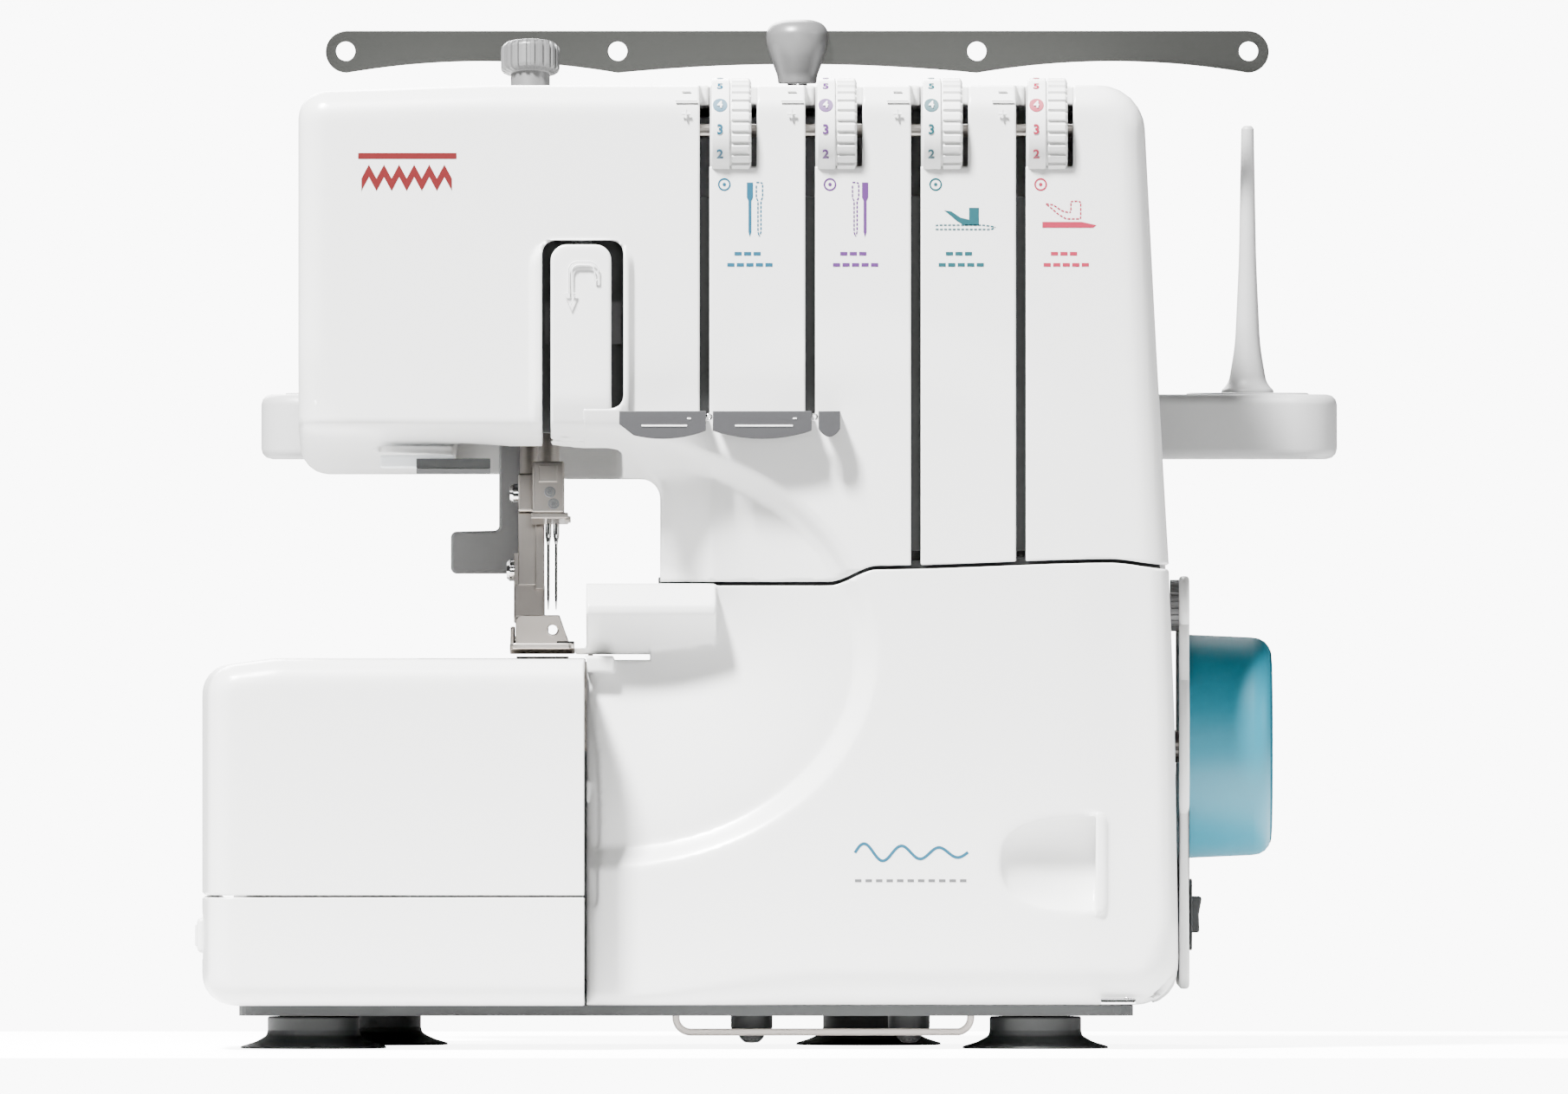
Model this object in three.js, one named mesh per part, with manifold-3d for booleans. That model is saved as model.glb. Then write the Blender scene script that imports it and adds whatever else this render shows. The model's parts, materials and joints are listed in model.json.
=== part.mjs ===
// Four-thread overlock sewing machine, in millimetres: +X right, -Y front, +Z up.
// The origin is on the table, under the middle of the overall box.
import * as THREE from "three";
import { mergeVertices } from "three/addons/utils/BufferGeometryUtils.js";
import Module from "manifold-3d";

const wasm = await Module();
wasm.setup();

// ---- Driving dimensions ----
const GAP = 0.3; // between pieces that touch
const WALL = 2.5; // plastic shells
const PAST = 5; // how far a cutter runs past the face it opens

const FRONT = -102; // front plane of head and looper cover
const BACK = 55; // rear plane of the housing
const SPLIT = 12; // where the upper housing meets the rear housing
const COVER_BACK = -68.7; // rear edge of the looper cover
const HINGE_Y = -91; // the rod that the looper cover tilts on
const HINGE_Z = 19.2;
const NOSE_LEFT = -59.5;
const CATCH_DEPTH = 7; // how far the cover's two catches stand out of the recess
const BASE_TOP = 13.2;
const BASE_LOW = 10.1;
const BASE_FRONT = -84; // set back under the looper cover, which tilts down in front of it

const FEET = {
  front_left: [-139.4, -68],
  rear_left: [-121.3, 18],
  front_right: [81.2, -68],
  rear_right: [30.4, 18],
};
const SCREW_X = [-5.5, 42.6]; // base bosses
const BRACKET_X = [-28.6, 61.4]; // ends of the wire bracket under the front edge
const BRACKET_Z = [5.1, 9.7];

const HEAD_LEFT = -143.7;
const HEAD_LOW = 175.6;
const HEAD_TOP = 294;
const COLUMN_LEFT = -33.4;
const COLUMN_TOP_RIGHT = 113.6;
const COLUMN_SEAM_RIGHT = 121.8;
const COLUMN_LOW_RIGHT = 124.7;
const SEAM = [[-20.5, 142.6], [19.7, 142.9], [30, 147.6], [106, 149.7]]; // parting line, left to right
const SEAM_LEFT_Z = 142.6;
const SEAM_RIGHT_Z = 147;
const SEAM_GAP = 1.2;

const RECESS_X = -50; // middle of the round recess beside the bed
const RECESS_Z = 121;
const RECESS_WIDE = 78;
const RECESS_TALL = 64;
const RECESS_FLOOR = -86;

const BED_LEFT = -170.7;
const BED_RIGHT = -56.4;
const BED_FRONT = -120;
const BED_BACK = -31;
const BED_TOP = 119.1;
const BED_SPLIT = 47;

const LEAN = THREE.MathUtils.degToRad(13); // needle and presser bars lean back
const NEEDLE_Y = -62; // where the needle line meets the bed
const NEEDLE_X = -67.6;
const PRESSER_X = -73.5;
const PRESSER_BACK = 12; // presser bar behind the needle bar
const PIN_Y = -48.4; // the foot's pin, across the end of its holder
const PIN_Z = 124.7;
const LIFTER_Y = -22; // the lifting lever behind the foot

const SHAFT_Y = -30;
const SHAFT_Z = 92.1;
const WHEEL_RADIUS = 34.3;
const WHEEL_X = [125.6, 154];
const MOTOR_Y = 4;
const MOTOR_Z = 48;
const PULLEY_RADIUS = 28;
const MOTOR_PULLEY_RADIUS = 8;
const BELT_LEFT = 106;
const BELT_RIGHT = 112;

const STITCH_Y = -52;
const STITCH_Z = 135.3;

const DIAL_LEFT = [-18.3, 13.9, 46.1, 78.1];
const DIAL_WIDTH = 12.7;
const DIAL_RADIUS = 16;
const DIAL_Y = FRONT + 11.7;
const DIAL_Z = 280.2;
const SLOT_WIDTH = 3;
const SLOT_LOW = [193.8, 193.8, 140, 140];

const POLE_X = 8.5;
const POLE_Y = 72;
const POLE_ROD = 3.05; // radius of the thinnest section
const SPOOL_X = [-131.1, -47, 64, 148];
const GUIDE_MIDDLE = 306.3; // height of the thread guide bar
const GUIDE_HALF = 6.5; // half its width at an eye
const GUIDE_END = 139.3; // from the pole to the middle of each rounded end
const SPOOL_Y = 98;
const STAND_LOW = 180.4;
const STAND_TOP = 200.4;
const STAND_BACK = 120;

// ---- Solids ----

/** A closed three.js geometry as a solid that can be joined and cut. */
function solid(geometry) {
  const plain = geometry.clone();
  plain.deleteAttribute("normal");
  plain.deleteAttribute("uv");
  const merged = mergeVertices(plain, 1e-4);
  return new wasm.Manifold(
    new wasm.Mesh({
      numProp: 3,
      vertProperties: merged.attributes.position.array,
      triVerts: new Uint32Array(merged.index.array),
    }),
  );
}

/** A solid back as a three.js geometry. */
function geometryOf(body) {
  const { vertProperties, triVerts } = body.getMesh();
  const geometry = new THREE.BufferGeometry();
  geometry.setAttribute("position", new THREE.BufferAttribute(new Float32Array(vertProperties), 3));
  geometry.setIndex(new THREE.BufferAttribute(new Uint32Array(triVerts), 1));
  geometry.computeVertexNormals();
  return geometry;
}

function join(first, ...others) {
  return others.reduce((sum, other) => sum.add(other), first);
}

function cut(first, ...others) {
  return others.reduce((rest, other) => rest.subtract(other), first);
}

/** A block between two corners. */
function block(x0, x1, y0, y1, z0, z1) {
  const geometry = new THREE.BoxGeometry(x1 - x0, y1 - y0, z1 - z0);
  geometry.translate((x0 + x1) / 2, (y0 + y1) / 2, (z0 + z1) / 2);
  return solid(geometry);
}

const AXES = {
  x: new THREE.Matrix4().makeRotationZ(-Math.PI / 2),
  y: new THREE.Matrix4(),
  z: new THREE.Matrix4().makeRotationX(Math.PI / 2),
};

/** A round bar along one axis: from and to are its ends, centre its two other coordinates. */
function bar(axis, from, to, centre, radius, sides = 16, endRadius = radius) {
  const geometry = new THREE.CylinderGeometry(endRadius, radius, to - from, sides);
  geometry.applyMatrix4(AXES[axis]);
  const middle = (from + to) / 2;
  const place = { x: [middle, ...centre], y: [centre[0], middle, centre[1]], z: [...centre, middle] }[axis];
  geometry.translate(...place);
  return solid(geometry);
}

/** A turned piece about the Z axis at (x, y): profile is [radius, z] from the axis, round and back to it. */
function turned(x, y, profile, sides = 16) {
  const points = profile.map(([radius, z]) => new THREE.Vector2(radius, z));
  const geometry = new THREE.LatheGeometry(points, sides);
  geometry.rotateX(Math.PI / 2);
  geometry.translate(x, y, 0);
  return solid(geometry);
}

/** A closed outline of [u, v, corner radius] points. */
function outline(corners) {
  const shape = new THREE.Shape();
  corners.forEach(([u, v, radius = 0], i) => {
    const here = new THREE.Vector2(u, v);
    const [bu, bv] = corners[(i + corners.length - 1) % corners.length];
    const [nu, nv] = corners[(i + 1) % corners.length];
    const before = new THREE.Vector2(bu, bv).sub(here).normalize();
    const after = new THREE.Vector2(nu, nv).sub(here).normalize();
    const reach = radius / Math.tan(Math.acos(before.dot(after)) / 2);
    const enter = here.clone().addScaledVector(before, reach);
    const leave = here.clone().addScaledVector(after, reach);
    if (i === 0) shape.moveTo(enter.x, enter.y);
    else shape.lineTo(enter.x, enter.y);
    if (radius > 0) shape.quadraticCurveTo(u, v, leave.x, leave.y);
  });
  shape.closePath();
  return shape;
}

const PLANES = {
  xz: new THREE.Matrix4().makeBasis(
    new THREE.Vector3(1, 0, 0),
    new THREE.Vector3(0, 0, 1),
    new THREE.Vector3(0, -1, 0),
  ),
  xy: new THREE.Matrix4(),
  yz: new THREE.Matrix4().makeBasis(
    new THREE.Vector3(0, 1, 0),
    new THREE.Vector3(0, 0, 1),
    new THREE.Vector3(1, 0, 0),
  ),
};

/** A slab with the given outline in a plane, between two places on the third axis. */
function slab(plane, shape, from, to, curveSegments = 5) {
  const geometry = new THREE.ExtrudeGeometry(shape, { depth: to - from, bevelEnabled: false, curveSegments });
  geometry.applyMatrix4(PLANES[plane]);
  const shift = { xz: [0, to, 0], xy: [0, 0, from], yz: [from, 0, 0] }[plane];
  geometry.translate(...shift);
  return solid(geometry);
}

function roundedBox(plane, u0, u1, v0, v1, radius, from, to) {
  const shape = outline([[u0, v0, radius], [u1, v0, radius], [u1, v1, radius], [u0, v1, radius]]);
  return slab(plane, shape, from, to);
}

/** What to take off to round a straight edge that runs along X; ySide and zSide point into the solid. */
function edgeAlongX(x0, x1, y, z, radius, ySide, zSide) {
  const yIn = y + ySide * radius;
  const zIn = z + zSide * radius;
  const yOut = y - ySide;
  const zOut = z - zSide;
  const [yLow, yHigh] = [Math.min(yIn, yOut), Math.max(yIn, yOut)];
  const [zLow, zHigh] = [Math.min(zIn, zOut), Math.max(zIn, zOut)];
  const corner = block(x0, x1, yLow, yHigh, zLow, zHigh);
  return corner.subtract(bar("x", x0 - 1, x1 + 1, [yIn, zIn], radius, 20));
}

// ---- Materials and the tree of meshes ----

const machine = new THREE.Group();
const leaning = new THREE.Group(); // needle and presser bars; its own z runs up the needle bar from the bed
leaning.position.set(0, NEEDLE_Y, BED_TOP);
leaning.rotation.x = -LEAN;
machine.add(leaning);

const FINISHES = {
  white: [0xf2f2f0, 0.3, 0],
  grey: [0xb8b9ba, 0.45, 0],
  midGrey: [0x8c8e8f, 0.45, 0.2],
  black: [0x2d3030, 0.6, 0],
  dark: [0x3c3e3e, 0.7, 0],
  steel: [0x98928e, 0.3, 1],
  chrome: [0xd4d4d4, 0.12, 1],
  cast: [0x8b8f92, 0.6, 0.8],
  blue: [0x5aacc2, 0.4, 0],
  clear: [0xe8edf0, 0.15, 0],
};

function part(name, body, finishName, parent = machine) {
  const [color, roughness, metalness] = FINISHES[finishName];
  const material = new THREE.MeshStandardMaterial({ color, roughness, metalness });
  const mesh = new THREE.Mesh(geometryOf(body), material);
  mesh.name = name;
  parent.add(mesh);
  return mesh;
}

// ---- Housings ----

/** Front outline of head and column above the parting line, drawn in by inset, with its seam dropped. */
function upperOutline(inset, drop) {
  const seam = SEAM.map(([x, z]) => [x, z - drop]);
  return outline([
    [HEAD_LEFT + inset, HEAD_LOW + inset, 6],
    [COLUMN_LEFT + inset, HEAD_LOW + inset, 3],
    [COLUMN_LEFT + inset, SEAM_LEFT_Z - drop],
    ...seam,
    [COLUMN_SEAM_RIGHT - inset, SEAM_RIGHT_Z - drop],
    [COLUMN_TOP_RIGHT - inset, HEAD_TOP - inset, 15 - inset],
    [-85, HEAD_TOP - inset],
    [HEAD_LEFT + inset, HEAD_TOP - 2 - inset, 8],
  ]);
}

/** The round recess beside the bed, grown outwards and deeper by that much. */
function roundRecess(grown) {
  const shape = new THREE.Shape();
  shape.absellipse(RECESS_X, RECESS_Z, RECESS_WIDE + grown, RECESS_TALL + grown, 0, 2 * Math.PI);
  return slab("xz", shape, FRONT - 1, RECESS_FLOOR + grown, 10);
}

function upperBlock(inset) {
  const front = FRONT + inset;
  const body = slab("xz", upperOutline(inset, inset ? PAST : 0), front, SPLIT + (inset ? PAST : 0));
  const topEdge = edgeAlongX(-150, 130, front, HEAD_TOP - inset, 9 - inset, 1, -1);
  const lowEdge = edgeAlongX(-150, COLUMN_LEFT, front, HEAD_LOW + inset, 14 - inset, 1, 1);
  const recess = roundRecess(inset).intersect(block(COLUMN_LEFT, 60, FRONT - 2, 0, 20, HEAD_LOW + 12));
  return cut(body, topEdge, lowEdge, recess);
}

function upperHousing() {
  const slots = DIAL_LEFT.map((x, i) => block(x - SLOT_WIDTH, x, FRONT - 1, -80, SLOT_LOW[i], HEAD_TOP + 1));
  const windows = DIAL_LEFT.map((x) =>
    block(x - GAP, x + DIAL_WIDTH + 2, FRONT - 1, DIAL_Y + DIAL_RADIUS + 1, 266.6, HEAD_TOP + 1),
  );
  const takeUpSlot = roundedBox("xz", -69.3, -44.5, HEAD_LOW + 7, 246.6, 4, FRONT - 1, FRONT + 20);
  const needleOpening = block(-96, -45, -84, -4, HEAD_LOW - 1, HEAD_LOW + 8);
  const lampOpening = block(-120, -95, -84, -60, HEAD_LOW - 1, HEAD_LOW + 8);
  const knobHole = leanBar(PRESSER_X, PRESSER_BACK, 160, 200, 6.6);
  const openings = [...slots, ...windows, takeUpSlot, needleOpening, lampOpening, knobHole];
  return cut(upperBlock(0), upperBlock(WALL), ...openings);
}

/** A bar along the lean of the needle bar, in the machine's own frame and that far behind the needle bar. */
function leanBar(x, back, from, to, radius, sides = 16) {
  const geometry = new THREE.CylinderGeometry(radius, radius, to - from, sides);
  geometry.applyMatrix4(AXES.z);
  geometry.translate(x, back, (from + to) / 2);
  geometry.rotateX(-LEAN);
  geometry.translate(0, NEEDLE_Y, BED_TOP);
  return solid(geometry);
}

function rearBlock(inset) {
  const open = inset ? PAST : 0;
  const back = BACK - inset;
  const low = BASE_TOP + GAP;
  const above = slab(
    "xz",
    outline([
      [HEAD_LEFT + inset, HEAD_LOW + inset, 6],
      [COLUMN_LEFT + inset, HEAD_LOW + inset],
      [COLUMN_LEFT + inset, 115],
      [COLUMN_LOW_RIGHT - 2.5 - inset, 115],
      [COLUMN_SEAM_RIGHT - inset, SEAM_RIGHT_Z],
      [COLUMN_TOP_RIGHT - inset, HEAD_TOP - inset, 15 - inset],
      [-85, HEAD_TOP - inset],
      [HEAD_LEFT + inset, HEAD_TOP - 2 - inset, 8],
    ]),
    SPLIT + GAP - open,
    back,
  );
  const top = [...SEAM].reverse().map(([x, z]) => [x, z - SEAM_GAP + open]);
  const columnShape = outline([
    [COLUMN_LEFT + inset, low - open],
    [COLUMN_LOW_RIGHT - inset, low - open],
    [COLUMN_SEAM_RIGHT - inset, SEAM_RIGHT_Z - SEAM_GAP + open],
    ...top,
    [COLUMN_LEFT + inset, SEAM_LEFT_Z - SEAM_GAP + open],
  ]);
  const column = slab("xz", columnShape, COVER_BACK + 1 - open, back);
  const armLeft = BED_LEFT + 6 + inset;
  const arm = block(armLeft, COLUMN_LEFT + 6, BED_BACK + 3 - open, back, low - open, BED_TOP - 4 - inset);
  return join(above, column, arm);
}

function rearHousing() {
  const shaftHole = bar("x", 100, 130, [SHAFT_Y, SHAFT_Z], 8);
  return cut(rearBlock(0), rearBlock(WALL), shaftHole, inletHole());
}

/** The way through both right walls for the power inlet's neck. */
function inletHole() {
  return block(115, 135, 22.7, 37.3, 31.7, 48.3);
}

function sideHousing() {
  const shape = outline([
    [-60, 18, 6],
    [50, 18, 10],
    [50, 138, 10],
    [-60, 138, 14],
  ]);
  const plate = slab("yz", shape, 125.2, 128.4);
  const wheelHole = bar("x", 120, 135, [SHAFT_Y, SHAFT_Z], WHEEL_RADIUS + 2, 40);
  const dialHole = bar("x", 120, 135, [STITCH_Y, STITCH_Z], 9, 20);
  return cut(plate, wheelHole, dialHole, inletHole());
}

/** The front door over the loopers, before it is hollowed. */
function looperCoverBlock(inset) {
  const top = [...SEAM].reverse().map(([x, z]) => [x, z - SEAM_GAP - inset]);
  const left = BED_RIGHT + 0.6 - (inset ? PAST : 0);
  const shape = outline([
    [left, BASE_TOP + GAP + inset],
    [COLUMN_LOW_RIGHT - inset, BASE_TOP + GAP + inset, 10],
    [COLUMN_SEAM_RIGHT - 0.3 - inset, SEAM_RIGHT_Z - SEAM_GAP - inset],
    ...top,
    [COLUMN_LEFT - 3, SEAM_LEFT_Z - SEAM_GAP - inset],
    [COLUMN_LEFT - 3, 119.5 - inset],
    [left, 119.5 - inset],
  ]);
  const body = slab("xz", shape, FRONT + inset, COVER_BACK + (inset ? PAST : 0));
  const lowEdge = edgeAlongX(-60, 130, FRONT + inset, BASE_TOP + GAP + inset, 8 - inset, 1, 1);
  return cut(body, roundRecess(inset), lowEdge);
}

/** The half-round nose that the cloth passes; left of the door it is trimmed to swing over the bed. */
function coverNose() {
  const round = bar("x", NOSE_LEFT, -16, [-86, 130.4], 11, 24);
  const behind = block(NOSE_LEFT - 1, -15, -84, -60, 110, 150);
  const overBed = bar("x", NOSE_LEFT - 1, BED_RIGHT + 0.6, [HINGE_Y, HINGE_Z], 103.4, 80);
  return cut(round, behind, overBed);
}

/** What the door's rear top edge gives up, so that it swings out under the parting line. */
function coverSwing() {
  const [step, right] = [28, 130]; // the parting line steps up there
  const overLeft = block(-60, step, HINGE_Y, -60, 120, 160);
  const overRight = block(step, right, HINGE_Y, -60, 120, 160);
  return [
    overLeft.subtract(bar("x", -61, step + 1, [HINGE_Y, HINGE_Z], 122.9, 120)),
    overRight.subtract(bar("x", step - 1, right + 1, [HINGE_Y, HINGE_Z], 127.3, 120)),
  ];
}

/** The looper cover: a hollow door, open behind, with its nose, finger grip, catches and hinge tab. */
function looperCover() {
  const grip = roundedBox("xz", 70.6, 99.4, 42.5, 70.8, 10, FRONT - 1, FRONT + 9);
  const gripBox = roundedBox("xz", 68.1, 101.9, 40, 73.3, 12, FRONT + 1, FRONT + 11.5);
  const catches = [
    roundedBox("xz", -55.5, -47.4, 115, 120, 2, RECESS_FLOOR - CATCH_DEPTH, RECESS_FLOOR + 1),
    roundedBox("xz", -55.5, -45.5, 75, 82.1, 3, RECESS_FLOOR - CATCH_DEPTH, RECESS_FLOOR + 1),
  ];
  const tab = block(99.4, 114.8, FRONT - 2.5, FRONT + 6, 13.9, 15.4);
  const shell = cut(looperCoverBlock(0), looperCoverBlock(WALL), ...coverSwing());
  return cut(join(shell, coverNose(), gripBox, tab, ...catches), grip);
}

function bedShape(inset, topInset) {
  return outline([
    [BED_LEFT + inset, 0],
    [BED_RIGHT + (inset ? PAST : 0), 0],
    [BED_RIGHT + (inset ? PAST : 0), BED_TOP - topInset],
    [BED_LEFT + 12, BED_TOP - 3 - topInset, 6],
    [BED_LEFT + inset, BED_TOP - 12 - topInset, 6],
  ]);
}

function bedBlock(inset, low, high) {
  const body = slab("xz", bedShape(inset, inset), BED_FRONT + inset, BED_BACK + (inset ? PAST : 0));
  const frontEdge = edgeAlongX(-180, -40, BED_FRONT + inset, BED_TOP - inset, 7 - inset, 1, -1);
  return cut(body, frontEdge).intersect(block(-180, -40, -130, 0, low, high));
}

/** The shell over the free arm; the needle plate sits in its notch, which is open to the right. */
function bedCover() {
  const shell = cut(bedBlock(0, BED_SPLIT, 130), bedBlock(WALL, BED_SPLIT - 1, 130));
  const notch = block(-107.3, -40, -92, -38, BED_TOP - 4, BED_TOP + 2);
  return cut(shell, notch);
}

function bedLowerCover() {
  const latchWindow = block(-180, -160, -86.4, -65.6, 28.9, 40.5);
  return cut(bedBlock(0, BASE_TOP + GAP, BED_SPLIT - GAP), bedBlock(WALL, BASE_TOP, BED_SPLIT), latchWindow);
}

function bedLatch() {
  return roundedBox("xz", -175.4, -165, 29.3, 40.1, 1.5, -86, -66);
}

part("upper_housing", upperHousing(), "white");
part("rear_housing", rearHousing(), "white");
part("side_housing", sideHousing(), "white");
part("looper_cover", looperCover(), "white");
part("bed_cover", bedCover(), "white");
part("bed_lower_cover", bedLowerCover(), "white");
part("bed_latch", bedLatch(), "white");

// ---- Base, feet and the wire bracket ----

function basePlate() {
  const plate = roundedBox("xy", -162, 111, BASE_FRONT, 50, 6, BASE_LOW, BASE_TOP);
  const bosses = SCREW_X.map((x) =>
    turned(x, -60, [[0, 1.8], [3.2, 2.6], [4, 5.8], [6.2, 5.8], [6.2, BASE_LOW + 1], [0, BASE_LOW + 1]]),
  );
  return join(plate, ...bosses);
}

function suctionFoot([x, y]) {
  const top = BASE_LOW - GAP;
  const cup = [[0, 1.6], [18, 0], [22.3, 0], [21.5, 1.4], [14.5, 3.8], [14, 3.9]];
  return turned(x, y, [...cup, [14, top], [0, top]], 24);
}

/** The bent wire under the front edge that the waste tray hooks onto. */
function trayBracket() {
  const [left, right] = BRACKET_X;
  const [low, high] = BRACKET_Z;
  const bend = 3;
  const at = (x, z) => new THREE.Vector3(x, BASE_FRONT + 3, z);
  const route = new THREE.CurvePath();
  route.add(new THREE.LineCurve3(at(left, high), at(left, low + bend)));
  route.add(new THREE.QuadraticBezierCurve3(at(left, low + bend), at(left, low), at(left + bend, low)));
  route.add(new THREE.LineCurve3(at(left + bend, low), at(right - bend, low)));
  route.add(new THREE.QuadraticBezierCurve3(at(right - bend, low), at(right, low), at(right, low + bend)));
  route.add(new THREE.LineCurve3(at(right, low + bend), at(right, high)));
  const section = new THREE.Shape();
  section.absarc(0, 0, 1.1, 0, 2 * Math.PI);
  return solid(new THREE.ExtrudeGeometry(section, { steps: 18, extrudePath: route, curveSegments: 4 }));
}

part("base_plate", basePlate(), "black");
for (const [place, centre] of Object.entries(FEET)) part("foot_" + place, suctionFoot(centre), "black");
part("tray_bracket", trayBracket(), "grey");

// ---- Cast frame, drive and side fittings ----

function machineFrame() {
  const sole = block(-150, 100, -24, 46, BASE_TOP + GAP, 20);
  const column = block(-25, 20, -20, 46, 18, 285);
  const arm = block(-100, -20, 6, 46, 225, 285);
  const bedArm = block(-110, -20, -24, 0, 92, 110);
  const bedPost = block(-110, -96, -24, 0, 18, 94);
  const shaftBoss = bar("x", -20, 60, [SHAFT_Y, SHAFT_Z], 14);
  const shaftBore = bar("x", -30, 70, [SHAFT_Y, SHAFT_Z], 5.3);
  const plateArm = block(-106, -84, -88, -20, 100, 112);
  const guide = block(-84, -58, -45, 10, 240, 256);
  const bores = [leanBar(NEEDLE_X, 0, 60, 240, 3.7), leanBar(PRESSER_X, PRESSER_BACK, 60, 240, 3.4)];
  return cut(join(sole, column, arm, bedArm, bedPost, shaftBoss, plateArm, guide), shaftBore, ...bores);
}

function handwheel() {
  const [inner, outer] = WHEEL_X;
  const rim = WHEEL_RADIUS;
  const hub = [[0, inner + 3], [5.2, inner + 3], [5.2, inner + 8]];
  const dish = [[26, inner + 8], [27, inner], [rim, inner + 1]];
  const face = [[rim - 1.2, outer - 4.5], [rim - 6, outer], [0, outer]];
  return turned(0, 0, [...hub, ...dish, ...face], 36);
}

/** Stands a piece turned about Z along X instead, on the main shaft's line or another. */
function alongX(body, y, z) {
  const geometry = geometryOf(body);
  geometry.rotateY(Math.PI / 2);
  geometry.translate(0, y, z);
  return solid(geometry);
}

/** Profile of a flanged pulley's rim round the belt. */
function pulleyGroove(radius, flange) {
  return [
    [radius + flange, BELT_LEFT - 2],
    [radius + flange, BELT_LEFT - 1],
    [radius, BELT_LEFT - GAP],
    [radius, BELT_RIGHT + GAP],
    [radius + flange, BELT_RIGHT + 1],
    [radius + flange, BELT_RIGHT + 2],
  ];
}

function mainShaft() {
  const [left, right] = [-29, 128.3];
  const rod = 5;
  const hub = 12;
  const start = [[0, left], [rod, left], [rod, 103], [hub, 103], [hub, BELT_LEFT - 2]];
  const end = [[rod, BELT_RIGHT + 2], [rod, right], [0, right]];
  const profile = [...start, ...pulleyGroove(PULLEY_RADIUS, 2.5), ...end];
  return alongX(turned(0, 0, profile, 28), SHAFT_Y, SHAFT_Z);
}

function motorPulley() {
  const [left, flange] = [100.4, 2];
  const hub = [[0, left], [MOTOR_PULLEY_RADIUS + flange, left]];
  const profile = [...hub, ...pulleyGroove(MOTOR_PULLEY_RADIUS, flange), [0, BELT_RIGHT + 2]];
  return alongX(turned(0, 0, profile, 16), MOTOR_Y, MOTOR_Z);
}

function driveMotor() {
  const can = bar("x", 30, 90, [MOTOR_Y, MOTOR_Z], 24, 28);
  const nose = bar("x", 88, 96, [MOTOR_Y, MOTOR_Z], 10);
  const shaft = bar("x", 94, 100, [MOTOR_Y, MOTOR_Z], 3);
  const foot = block(34, 86, MOTOR_Y - 22, MOTOR_Y + 22, 20.4, MOTOR_Z - 10);
  return join(can, nose, shaft, foot);
}

/** The outline of a belt round both pulleys, that far off their rims. */
function beltOutline(off) {
  const [big, small] = [PULLEY_RADIUS + off, MOTOR_PULLEY_RADIUS + off];
  const [dy, dz] = [MOTOR_Y - SHAFT_Y, MOTOR_Z - SHAFT_Z];
  const along = Math.atan2(dz, dy);
  const spread = Math.acos((big - small) / Math.hypot(dy, dz));
  const shape = new THREE.Shape();
  shape.absarc(SHAFT_Y, SHAFT_Z, big, along + spread, along - spread + 2 * Math.PI, false);
  shape.absarc(MOTOR_Y, MOTOR_Z, small, along - spread, along + spread, false);
  shape.closePath();
  return shape;
}

function driveBelt() {
  const outer = slab("yz", beltOutline(2.3), BELT_LEFT + GAP, BELT_RIGHT - GAP, 10);
  return cut(outer, slab("yz", beltOutline(GAP), BELT_LEFT - 1, BELT_RIGHT + 1, 10));
}

function stitchLengthDial() {
  const profile = [[0, 122.5], [8, 122.5], [8, 125.6], [7, 126.6], [0, 126.6]];
  return alongX(turned(0, 0, profile, 24), STITCH_Y, STITCH_Z);
}

/** Socket block and switch frame on the right side, behind the handwheel. */
function powerInlet() {
  const frame = roundedBox("yz", 20.4, 39.6, 29, 51, 2, 128.7, 129.9);
  const neck = block(118, 129, 23, 37, 32, 48);
  const body = roundedBox("yz", 20.4, 48, 18, 58, 2, 112.3, 121);
  const rockerWell = block(122.6, 131, 24, 36, 33.6, 46.4);
  return cut(join(frame, neck, body), rockerWell);
}

function powerSwitch() {
  const shape = outline([[127, 34.4], [131, 34.4], [133.2, 45.6], [127, 45.6]]);
  return slab("xz", shape, 24.8, 35.2);
}

part("machine_frame", machineFrame(), "cast");
part("handwheel", alongX(handwheel(), SHAFT_Y, SHAFT_Z), "blue");
part("main_shaft", mainShaft(), "steel");
part("motor_pulley", motorPulley(), "black");
part("drive_motor", driveMotor(), "black");
part("drive_belt", driveBelt(), "black");
part("stitch_length_dial", stitchLengthDial(), "white");
part("power_inlet", powerInlet(), "black");
part("power_switch", powerSwitch(), "black");

// ---- Spool stand, telescopic pole and thread guide bar ----

function spoolStand() {
  const slabShape = outline([
    [-157.2, STAND_LOW, 3],
    [175.4, STAND_LOW, 3],
    [175.4, STAND_TOP, 4],
    [-157.2, STAND_TOP, 4],
  ]);
  const plan = roundedBox("xy", -157.2, 175.4, BACK + 5, STAND_BACK, 14, STAND_LOW - 1, STAND_TOP + 1);
  const stalk = block(-60, 77, BACK + GAP, BACK + 8, STAND_LOW, STAND_TOP - 2);
  const poleHole = bar("z", 170, 210, [POLE_X, POLE_Y], 6.8);
  return cut(join(slab("xz", slabShape, BACK, STAND_BACK).intersect(plan), stalk), poleHole);
}

function spoolPin(x) {
  const low = STAND_TOP + GAP;
  const profile = [
    [0, low], [8, low], [8, low + 0.6], [5.7, low + 2.8], [3.7, low + 15], [2.55, low + 41], [1.95, low + 82],
    [1.2, low + 83], [0, low + 83],
  ];
  return turned(x, SPOOL_Y, profile, 12);
}

/** One section of the pole, bored right through where a thinner one runs in it. */
function poleTube(radius, bore, low, high) {
  const tube = bar("z", low, high, [POLE_X, POLE_Y], radius);
  return bore ? cut(tube, bar("z", low - 1, high + 1, [POLE_X, POLE_Y], bore)) : tube;
}

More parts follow.
